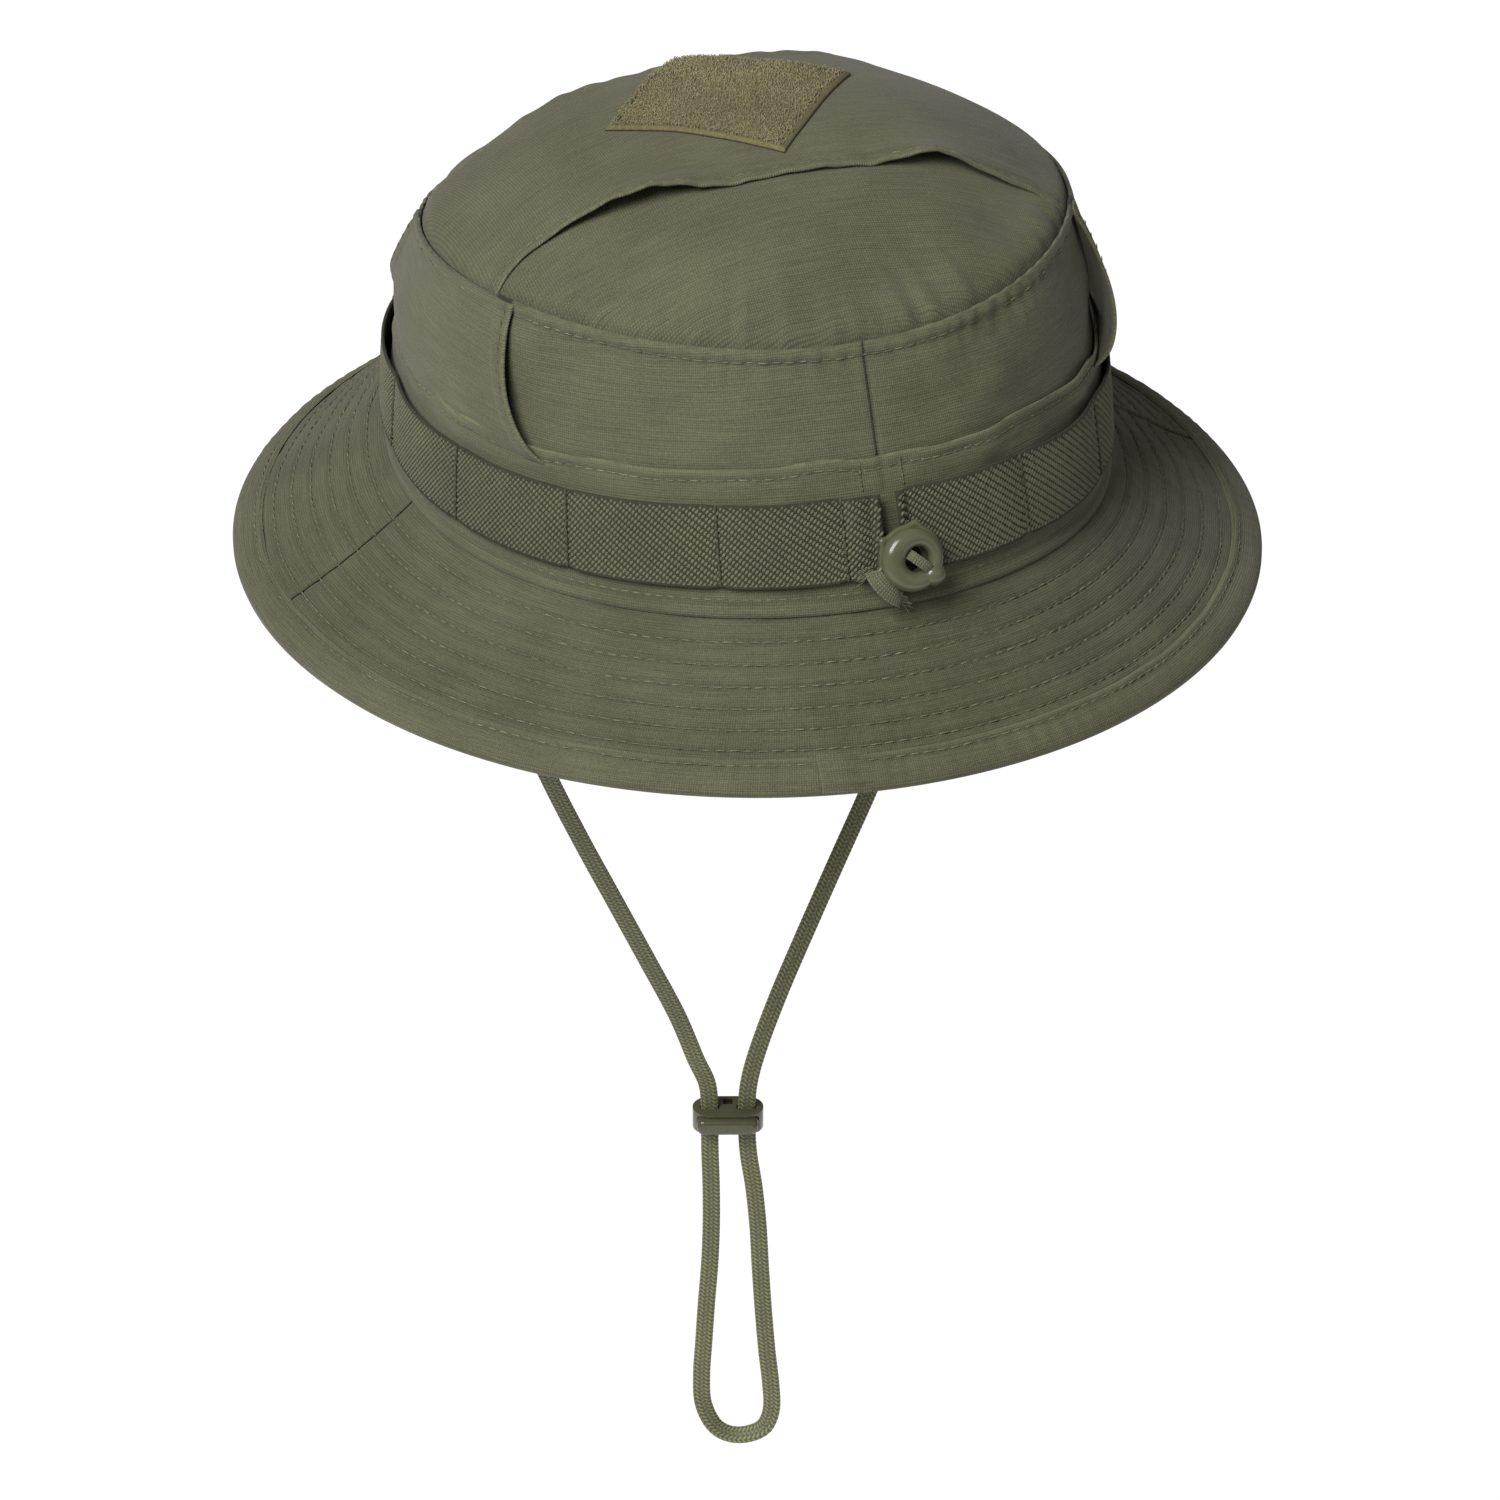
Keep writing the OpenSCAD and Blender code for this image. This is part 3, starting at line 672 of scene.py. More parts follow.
@dataclass(frozen=True)
class SolidFinish:
    """A finish whose pattern is a fine irregular grain: thread, pile, felt, moulded plastic or wire.

    A tone attribute on the mesh makes it lighter or darker there, as painted highlight and painted shade.

    Attributes:
        name: What the real material is.
        colour: Its mean colour, sRGB.
        grain: Size of its grain, in millimetres.
        vary: How far its colour varies, as a share.
        roughness: Roughness of its surface.
        relief: How strongly the grain stands out.
        ior: Index of refraction.
        sheen: Strength of the glow of loose fibres.
        metallic: 1 for a metal.
        coat: Strength of a clear glossy skin.
        glow: Light that it gives off itself.
    """

    name: str
    colour: str
    grain: float = 1.0
    vary: float = 0.1
    roughness: float = 0.8
    relief: float = 0.2
    ior: float = 1.5
    sheen: float = 0.0
    metallic: float = 0.0
    coat: float = 0.0
    glow: float = 0.0

    def build(self) -> bpy.types.Material:
        """Makes the material, which reads Object coordinates."""
        material, tree = new_material(self.name)
        place = add_node(tree, "ShaderNodeTexCoord").outputs["Object"]
        scale = 1 / (self.grain * MM)
        fine = add_node(
            tree, "ShaderNodeTexNoise", inputs={"Vector": place, "Scale": scale, "Detail": 3.0}
        ).outputs["Fac"]
        slow = add_node(
            tree, "ShaderNodeTexNoise", inputs={"Vector": place, "Scale": 55.0, "Detail": 2.0}
        ).outputs["Fac"]
        # painted highlight on raised parts and painted shade in grooves, from the mesh
        painted_shading_and_fade = add_node(tree, "ShaderNodeAttribute", {"attribute_name": "painted_shading_and_fade"}).outputs["Fac"]
        mixed = painted_shading_and_fade
        for source, weight in ((fine, 0.7), (slow, 0.3)):
            mixed = add_node(
                tree, "ShaderNodeMath", {"operation": "MULTIPLY_ADD"}, {0: source, 1: weight, 2: mixed}
            ).outputs[0]
        stops = [
            (0.1, shaded(self.colour, 1 - 3.5 * self.vary)),
            (0.5, self.colour),
            (0.9, shaded(self.colour, 1 + 3.5 * self.vary)),
        ]
        colour = ramp(add_node(tree, "ShaderNodeValToRGB", inputs={"Fac": mixed}), stops)
        bump = add_node(
            tree,
            "ShaderNodeBump",
            inputs={"Strength": self.relief, "Distance": 0.0001, "Height": fine},
        ).outputs[0]
        wear = add_node(
            tree,
            "ShaderNodeMapRange",
            inputs={
                "Value": slow,
                "To Min": max(0.05, self.roughness - 0.08),
                "To Max": min(1.0, self.roughness + 0.08),
            },
        ).outputs[0]
        inputs = {
            "Base Color": colour,
            "Roughness": wear,
            "Metallic": self.metallic,
            "Sheen Weight": self.sheen,
            "Coat Weight": self.coat,
            "Emission Color": (1.0, 1.0, 1.0, 1.0),
            "Emission Strength": self.glow,
            "Normal": bump,
        }
        if not self.metallic:
            inputs["IOR"] = self.ior
        shader = add_node(tree, "ShaderNodeBsdfPrincipled", inputs=inputs)
        add_node(tree, "ShaderNodeOutputMaterial", inputs={"Surface": shader.outputs[0]})
        return material


class Finishes:
    """Every finish on the hat, made once."""

    def __init__(self) -> None:
        """Makes the materials."""
        # poly-cotton ripstop, piece-dyed olive: matt, with faint slubs; raised folds lighter by fading and painted
        # highlight, furrows in painted shade
        self.cloth = WovenFinish("ripstop poly-cotton, piece-dyed olive", "#5a5944").build()
        # the same cloth's back and the cotton tapes inside: a little darker and softer
        self.lining = WovenFinish("cotton drill, olive", "#52513c", 0.8, 0.5).build()
        # woven polyester label: a fine satin ribbon with nothing on it
        self.label = WovenFinish("woven polyester tape", "#454535", 0.5, 0.2, 0.05, 0.3, 0.6).build()
        # elastic rubber core covered with polyester yarn: flat, fine-ribbed, slightly shiny
        self.elastic = WovenFinish("woven flat elastic", "#63624b", 0.75, 0.9, 0.12, 0.2, 0.7).build()
        # knitted polyester loops: fuzzy, with light tips and dark roots
        self.pile = SolidFinish("knitted nylon loop pile", "#867e5a", 0.9, 0.12, 0.95, 0.2, 1.53, 0.25).build()
        # ground fabric that the loops stand in
        self.pile_ground = SolidFinish("knitted nylon ground", "#666041", 0.7, 0.1, 0.95, 0.5).build()
        # heavy spun polyester yarn of the webbing: matt cords with fine hairs
        self.webbing = SolidFinish("spun polyester webbing yarn", "#63624b", 0.45, 0.09, 0.9, 0.4, 1.5, 0.1).build()
        # painted shade: the webbing's ground, dark to stand for the shade in the gaps between its cords
        self.webbing_ground_shade = SolidFinish("webbing ground in painted shade", "#323124", 0.6, 0.12, 0.95, 0.4).build()
        # core-spun sewing thread: fine twisted strands, lighter where they lie on top
        self.thread = SolidFinish("core-spun sewing thread, olive", "#66644d", 1.6, 0.16, 0.75, 0.3).build()
        # the same thread in a darker shade, on the bar tacks
        self.dark_thread = SolidFinish("core-spun sewing thread, dark olive", "#444331", 0.8, 0.15, 0.8, 0.3).build()
        # knitted polyester net of the vents: open and dull
        self.net = SolidFinish("knitted polyester net", "#40402b", 0.5, 0.12, 0.85, 0.2).build()
        # needle-punched polyester felt between the brim's two layers: pale and fuzzy
        self.felt = SolidFinish("needle-punched felt", "#d3d1c6", 1.2, 0.06, 0.95, 0.6, 1.5, 0.3).build()
        # flat polyester braid of the chin cord: fine bundles with a slight shine
        self.braid = SolidFinish("flat polyester braid", "#717251", 0.35, 0.1, 0.72, 0.35, 1.53, 0.12).build()
        # injection-moulded acetal of the adjuster: smooth, waxy and glossy
        self.gloss = SolidFinish("moulded acetal, olive", "#5a5943", 6.0, 0.04, 0.2, 0.03, 1.48).build()
        # injection-moulded nylon of the cord lock: satin from a fine-grained mould
        self.satin = SolidFinish("moulded nylon, olive", "#56553e", 0.5, 0.05, 0.26, 0.04, 1.53).build()
        # drawn spring wire
        self.steel = SolidFinish("drawn steel wire", "#c4c6c2", 0.3, 0.04, 0.3, 0.05, metallic=1.0).build()
        # white studio floor, lit from below so that it shows no shade
        self.floor = SolidFinish("white light table", "#d8d8d7", 80.0, 0.004, 0.9, 0.0, glow=0.9).build()


# ---------------------------------------------------------------- what repeats


class Guide:
    """Points with directions that small shapes are set on."""

    def __init__(self) -> None:
        """Starts an empty guide."""
        self.points: list[Grid] = []
        self.out: list[Grid] = []
        self.along: list[Grid] = []
        self.edges: list[Grid] = []
        self.count = 0

    def add_row(self, points: Grid, out: Grid, joined: bool = False) -> None:
        """Adds a line of points, in millimetres, with the outward direction at each.

        Args:
            points: The line's points.
            out: The outward direction at each.
            joined: Whether the line closes on itself.
        """
        n = len(points)
        before = np.roll(points, 1, axis=0) if joined else np.concatenate([points[:1], points[:-1]])
        after = np.roll(points, -1, axis=0) if joined else np.concatenate([points[1:], points[-1:]])
        first = np.arange(n if joined else n - 1)
        self.edges.append(np.stack([first, (first + 1) % n], axis=-1) + self.count)
        self.add_points(points, out, unit(after - before))

    def add_points(self, points: Grid, out: Grid, along: Grid) -> None:
        """Adds single points, in millimetres, with their outward and lengthwise directions."""
        self.points.append(points.reshape(-1, 3))
        self.out.append(np.broadcast_to(out, points.shape).reshape(-1, 3))
        self.along.append(np.broadcast_to(along, points.shape).reshape(-1, 3))
        self.count += self.points[-1].shape[0]

    def build(self, name: str) -> bpy.types.Object:
        """Makes the guide's mesh, which no render shows by itself."""
        edges = np.concatenate(self.edges) if self.edges else []
        made = add_object(name, np.concatenate(self.points), [], edges=edges)
        for label, values in (("out", self.out), ("along", self.along)):
            attribute = made.data.attributes.new(label, "FLOAT_VECTOR", "POINT")
            attribute.data.foreach_set("vector", np.concatenate(values).astype(np.float32).ravel())
        return made


class Pattern(Enum):
    """Ways of setting out what repeats."""

    ON_PATH = "on_path"  # at an even pitch along the guide's lines
    ON_POINTS = "on_points"  # one on each of the guide's points
    ON_FACES = "on_faces"  # scattered over the guide's faces
    THREADS = "threads"  # a thin thread along each of the guide's lines


class Repeater:
    """Geometry Nodes trees that set out what repeats, one for each pattern."""

    trees: dict[Pattern, bpy.types.NodeTree] = {}

    @classmethod
    def tree(cls, pattern: Pattern) -> bpy.types.NodeTree:
        """The tree for a pattern, made the first time that it is asked for."""
        if pattern not in cls.trees:
            cls.trees[pattern] = cls.make_tree(pattern)
        return cls.trees[pattern]

    @classmethod
    def make_tree(cls, pattern: Pattern) -> bpy.types.NodeTree:
        """Makes the tree: its inputs, how it sets out copies, and its finish."""
        tree = bpy.data.node_groups.new(f"repeat_{pattern.value}", "GeometryNodeTree")
        face = tree.interface
        face.new_socket("Geometry", in_out="OUTPUT", socket_type="NodeSocketGeometry")
        face.new_socket("Guide", in_out="INPUT", socket_type="NodeSocketGeometry")
        for name, kind in (
            ("Shape", "NodeSocketObject"),
            ("Finish", "NodeSocketMaterial"),
            ("Pitch", "NodeSocketFloat"),
            ("Density", "NodeSocketFloat"),
            ("Radius", "NodeSocketFloat"),
            ("Smallest", "NodeSocketFloat"),
            ("Largest", "NodeSocketFloat"),
            ("Seed", "NodeSocketInt"),
        ):
            face.new_socket(name, in_out="INPUT", socket_type=kind)
        given = add_node(tree, "NodeGroupInput").outputs
        if pattern is Pattern.THREADS:
            made = cls.threads(tree, given)
        else:
            made = cls.copies(tree, given, pattern)
        finish = add_node(
            tree, "GeometryNodeSetMaterial", inputs={"Geometry": made, "Material": given["Finish"]}
        )
        add_node(tree, "NodeGroupOutput", inputs={"Geometry": finish.outputs[0]})
        return tree

    @staticmethod
    def threads(tree: bpy.types.NodeTree, given: bpy.types.NodeOutputs) -> bpy.types.NodeSocket:
        """Nodes that run a round thread along every edge of the guide."""
        lines = add_node(tree, "GeometryNodeMeshToCurve", inputs={"Mesh": given["Guide"]})
        ring = add_node(
            tree,
            "GeometryNodeCurvePrimitiveCircle",
            inputs={"Resolution": 5, "Radius": given["Radius"]},
        )
        tubes = add_node(
            tree,
            "GeometryNodeCurveToMesh",
            inputs={"Curve": lines.outputs[0], "Profile Curve": ring.outputs[0], "Fill Caps": True},
        )
        return add_node(
            tree, "GeometryNodeRealizeInstances", inputs={"Geometry": tubes.outputs[0]}
        ).outputs[0]

    @staticmethod
    def copies(
        tree: bpy.types.NodeTree, given: bpy.types.NodeOutputs, pattern: Pattern
    ) -> bpy.types.NodeSocket:
        """Nodes that set copies of the shape on the guide and make them real."""
        if pattern is Pattern.ON_FACES:
            spread = add_node(
                tree,
                "GeometryNodeDistributePointsOnFaces",
                {"distribute_method": "POISSON"},
                {
                    "Mesh": given["Guide"],
                    "Distance Min": given["Pitch"],
                    "Density Max": given["Density"],
                    "Seed": given["Seed"],
                },
            )
            points, base = spread.outputs["Points"], spread.outputs["Rotation"]
            about = add_node(
                tree,
                "FunctionNodeRandomValue",
                {"data_type": "FLOAT_VECTOR"},
                {0: (-0.25, -0.25, 0.0), 1: (0.25, 0.25, 2 * math.pi), "Seed": given["Seed"]},
            )
            turn = add_node(
                tree, "FunctionNodeEulerToRotation", inputs={0: about.outputs["Value"]}
            )
            rotation = add_node(
                tree,
                "FunctionNodeRotateRotation",
                {"rotation_space": "LOCAL"},
                {0: base, 1: turn.outputs[0]},
            ).outputs[0]
        else:
            points = given["Guide"]
            if pattern is Pattern.ON_PATH:
                lines = add_node(tree, "GeometryNodeMeshToCurve", inputs={"Mesh": points})
                points = add_node(
                    tree,
                    "GeometryNodeResampleCurve",
                    {"mode": "LENGTH"},
                    {"Curve": lines.outputs[0], "Length": given["Pitch"]},
                ).outputs[0]
            ways = [
                add_node(
                    tree,
                    "GeometryNodeInputNamedAttribute",
                    {"data_type": "FLOAT_VECTOR"},
                    {"Name": name},
                ).outputs[0]
                for name in ("out", "along")
            ]
            rotation = add_node(
                tree,
                "FunctionNodeAxesToRotation",
                {"primary_axis": "Z", "secondary_axis": "X"},
                {0: ways[0], 1: ways[1]},
            ).outputs[0]
        shape = add_node(tree, "GeometryNodeObjectInfo", inputs={"Object": given["Shape"]})
        size = add_node(
            tree,
            "FunctionNodeRandomValue",
            {"data_type": "FLOAT"},
            {2: given["Smallest"], 3: given["Largest"], "Seed": given["Seed"]},
        )
        set_out = add_node(
            tree,
            "GeometryNodeInstanceOnPoints",
            inputs={
                "Points": points,
                "Instance": shape.outputs["Geometry"],
                "Rotation": rotation,
                "Scale": size.outputs[1],
            },
        )
        return add_node(
            tree, "GeometryNodeRealizeInstances", inputs={"Geometry": set_out.outputs[0]}
        ).outputs[0]

    @classmethod
    def run(
        cls, name: str, pattern: Pattern, guide: bpy.types.Object, finish: bpy.types.Material, **values
    ) -> bpy.types.Object:
        """Sets out copies on a guide and returns them as one plain mesh.

        Args:
            name: The new piece's name.
            pattern: How the copies are set out.
            guide: The object that they are set on, which is removed.
            finish: Their finish.
            **values: Values of the tree's other inputs, by name, in metres.

        Returns:
            The new piece.
        """
        tree = cls.tree(pattern)
        modifier = guide.modifiers.new("repeat", "NODES")
        modifier.node_group = tree
        known = {s.name: s.identifier for s in tree.interface.items_tree if s.in_out == "INPUT"}
        for key, value in {"Finish": finish, "Smallest": 1.0, "Largest": 1.0, "Seed": 7, **values}.items():
            modifier[known[key]] = value
        guide.update_tag()
        graph = bpy.context.evaluated_depsgraph_get()
        graph.update()
        mesh = bpy.data.meshes.new_from_object(guide.evaluated_get(graph))
        guide.modifiers.remove(modifier)
        bpy.data.objects.remove(guide)
        mesh.name = name
        mesh.shade_smooth()
        made = bpy.data.objects.new(name, mesh)
        bpy.context.scene.collection.objects.link(made)
        LOG.info("%s: %d faces", name, len(mesh.polygons))
        return made


def small_shape(name: str, points: Grid, faces: list[list[int]]) -> bpy.types.Object:
    """A shape that only its copies show, hidden by itself."""
    made = add_object(name, points, faces)
    made.hide_render = True
    return made


def capsule(name: str, length: float, radius: float, lift: float, sides: int = 6) -> bpy.types.Object:
    """A short length of thread along X that dives into the cloth at both ends.

    Args:
        name: The shape's name.
        length: From one needle hole to the next, in millimetres.
        radius: The thread's radius.
        lift: How far its middle stands over the cloth.
        sides: Faces round it.

    Returns:
        The hidden shape.
    """
    places = [(-0.5, -1.2, 0.6), (-0.34, 0.5, 0.95), (0.0, 1.0, 1.0), (0.34, 0.5, 0.95), (0.5, -1.2, 0.6)]
    rings = [
        [
            [x * length, radius * fat * math.cos(t), lift * up + radius * fat * math.sin(t)]
            for t in (2 * math.pi * k / sides for k in range(sides))
        ]
        for x, up, fat in places
    ]
    last = len(places) - 1
    faces = [
        [i * sides + k, i * sides + (k + 1) % sides, (i + 1) * sides + (k + 1) % sides, (i + 1) * sides + k]
        for i in range(last)
        for k in range(sides)
    ]
    faces = [f[::-1] for f in faces]
    faces += [list(range(sides)), [last * sides + k for k in reversed(range(sides))]]
    return small_shape(name, np.array(rings).reshape(-1, 3), faces)


def place(piece: bpy.types.Object, body: str, slot: str, *nodes: str) -> bpy.types.Object:
    """Makes a piece ride on a body, gives its slot, and says which CAD nodes it stands for.

    Args:
        piece: The finished piece.
        body: The CAD body that it moves with.
        slot: The record's material slot.
        *nodes: CAD nodes that it replaces.

    Returns:
        The piece.
    """
    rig.ride(piece, body)
    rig.slot(piece, slot)
    if nodes:
        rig.replaces(piece, *nodes)
    LOG.info("%s rides on %s", piece.name, body)
    return piece


def sew(cloth: Cloth, node: str, slot: str, finish: bpy.types.Material, on: str, held: str = "stretched") -> None:
    """Makes a cut piece of cloth that stands for a CAD node on the hat, and declares its flat size unless it is as
    narrow as trim.

    Args:
        cloth: The cloth.
        node: The CAD node.
        slot: The record's material slot.
        finish: Its finish.
        on: The CAD node that it is sewn to.
        held: How it is held.
    """
    piece = place(cloth.build(f"{node}_cloth", finish), "hat", slot, node)
    across, along, area = cloth.flat_size()
    if min(across, along) >= LEAST_SHEET:
        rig.sheet(piece, flat=(across, along), area=area, held=held, rests_on=[f"{on}_cloth"])


# ---------------------------------------------------------------- the hat's form


@dataclass(frozen=True)
class HatForm:
    """The curved surfaces of crown and brim that every cloth piece follows, in millimetres.

    Attributes:
        crown: Half the crown's width and length at the brim seam.
        side_dip: How far that seam dips at the sides.
        wall_height: Height of the tip seam over it at the back.
        front_fall: How much lower the tip seam is at the front.
        side_rise: How much higher it is at the sides.
        tip_half: Half the tip's width and length.
        tip_forward: How far the tip is set towards the front.
        tip_dome: Height of the tip's middle over its seam.
        dome_power: A higher power makes the tip flatter in the middle.
        swell: How far the wall swells between its seams.
        brim_half: Half the brim's width and length at its edge.
        brim_drop: How far the edge hangs below the seam at the back.
        strip_half: Half the top strip's width at its middle.
        cloth_t: Thickness of one layer of cloth.
    """

    crown: tuple[float, float] = (88.0, 104.0)
    side_dip: float = 8.0
    wall_height: float = 59.0
    front_fall: float = 19.0
    side_rise: float = 8.0
    tip_half: tuple[float, float] = (80.5, 82.5)
    tip_forward: float = 1.5
    tip_dome: float = 26.5
    dome_power: float = 2.6
    swell: float = 1.5
    brim_half: tuple[float, float] = (129.0, 137.0)
    brim_drop: float = 32.0
    strip_half: float = 34.0
    cloth_t: float = 0.55

    def outward(self, a: Grid) -> Grid:
        """Outward direction of the wall at an angle."""
        return unit(point(self.crown[1] * sin(a), self.crown[0] * cos(a), 0.0))

    def brim_seam(self, a: Grid) -> Grid:
        """The seam between crown and brim."""
        return point(self.crown[0] * sin(a), self.crown[1] * cos(a), -self.side_dip * sin(a) ** 2)

    def seam_rise(self, a: Grid) -> Grid:
        """How much higher the tip seam is than at the back."""
        return self.side_rise * sin(a) ** 2 - self.front_fall * (1 - cos(a)) / 2

    def tip_seam(self, a: Grid) -> Grid:
        """The seam between wall and tip."""
        return point(
            self.tip_half[0] * sin(a),
            self.tip_half[1] * cos(a) - self.tip_forward,
            self.wall_height + self.seam_rise(a),
        )

    def wall(self, a: Grid, h: Grid, off: Grid | float = 0.0) -> Grid:
        """A point of the wall at a share h of its height, standing off its face."""
        h = np.asarray(h, float)[..., None]
        off = np.asarray(off, float)[..., None]
        swell = self.swell * sin(180 * np.clip(h, 0, 1))
        return self.brim_seam(a) * (1 - h) + self.tip_seam(a) * h + self.outward(a) * (swell + off)

    def wall_at(self, a: Grid, rise: Grid, off: Grid | float = 0.0) -> Grid:
        """The same, at a rise in millimetres over the brim seam."""
        return self.wall(a, rise / self.wall_span(a), off)

    def wall_span(self, a: Grid) -> Grid:
        """Height of the wall at an angle."""
        return self.tip_seam(a)[..., 2] - self.brim_seam(a)[..., 2]

    def tip_share(self, x: Grid, y: Grid) -> Grid:
        """How far out a place of the tip is: 0 in the middle, 1 at its seam."""
        return np.hypot(x / self.tip_half[0], (y + self.tip_forward) / self.tip_half[1])

    def tip(self, x: Grid, y: Grid, off: Grid | float = 0.0) -> Grid:
        """A point of the tip over x and y."""
        u = np.minimum(1.0, self.tip_share(x, y))
        a = np.rad2deg(np.arctan2(x / self.tip_half[0], (y + self.tip_forward) / self.tip_half[1]))
        dome = self.tip_dome * (1 - u**self.dome_power)
        return point(x, y, self.wall_height + u * u * self.seam_rise(a) + dome + off)

    def tip_reach(self, y: Grid) -> Grid:
        """Half the tip's width where y is."""
        share = (y + self.tip_forward) / self.tip_half[1]
        return self.tip_half[0] * np.sqrt(np.maximum(0.0, 1 - share**2))

    def strip_edge(self, side: float, t: Grid) -> Grid:
        """Where the top strip's rear (side 1) or front (side -1) edge runs."""
        if side < 0:
            return -self.strip_half - 4 * t * t - self.tip_forward
        return np.polyval((30.3, 10.6, -35.5, -15.9, 4.4, -0.6, 34.5), np.clip(t, -0.95, 0.97))

    def brim_edge(self, a: Grid) -> Grid:
        """The edge of the brim."""
        low = -self.brim_drop - 3 * (1 - cos(a))
        return point(self.brim_half[0] * sin(a), self.brim_half[1] * cos(a), low)

    def brim_length(self, a: Grid) -> Grid:
        """From the brim seam to the edge, along the brim."""
        return np.linalg.norm(self.brim_edge(a) - self.brim_seam(a), axis=-1)

    def brim(self, a: Grid, s: Grid, off: Grid | float = 0.0) -> Grid:
        """A point of the brim at a share s from seam to edge, standing off its upper face."""
        start, end = self.brim_seam(a) - [0, 0, 0.3], self.brim_edge(a)
        d = end - start
        run = np.linalg.norm(d[..., :2], axis=-1, keepdims=True)
        up = np.array([0.0, 0.0, 1.0])
        normal = (self.outward(a) * -d[..., 2:] + up * run) / np.hypot(d[..., 2:], run)
        s = np.asarray(s, float)[..., None]
        off = np.asarray(off, float)[..., None]
        return start * (1 - s) + end * s - up * 1.5 * sin(180 * np.clip(s, 0, 1)) + normal * off

    def round_length(self, a: Grid) -> Grid:
        """Distance round the crown to an angle, for patterns and small waves."""
        return np.asarray(a, float) * math.pi / 180 * sum(self.crown) / 2


def away_from_front(a: Grid) -> Grid:
    """1 nearly all round, and 0 at the middle of the front, where rings of cloth close."""
    return ease((180 - np.abs(a)) / 9)


def normals_of(surface, a: Grid, b: Grid, step: float = 0.05) -> tuple[Grid, Grid]:
    """Points and unit normals of a surface given by a function of two values.

    Args:
        surface: The function.
        a: First value at each point.
        b: Second value.
        step: Small change of each.

    Returns:
        The points and the outward directions.
    """
    here = surface(a, b)
    normal = unit(np.cross(surface(a + step, b) - here, surface(a, b + step * 0.1) - here))
    return here, normal


# ---------------------------------------------------------------- crown


@dataclass(frozen=True)
class Vent:
    """An open stretch of the top strip's edge, where the cloth stands up.

    Attributes:
        side: 1 at the rear edge, -1 at the front edge.
        left: Where the opening starts on the wearer's left, as x.
        peak: Where it stands highest.
        right: Where it ends.
        lift: How high it stands.
        sharp: 1 for a tent with a point, 0 for a round arch.
    """

    side: int
    left: float
    peak: float
    right: float
    lift: float
    sharp: float

    def share(self, x: Grid) -> Grid:
        """How far the edge stands up at x, from 0 to 1."""
        q = np.where(x > self.peak, (x - self.peak) / (self.left - self.peak), (self.peak - x) / (self.peak - self.right))
        q = np.clip(q, 0, 1)
        return self.sharp * (1 - q) ** 1.15 + (1 - self.sharp) * (0.5 + 0.5 * cos(180 * q))


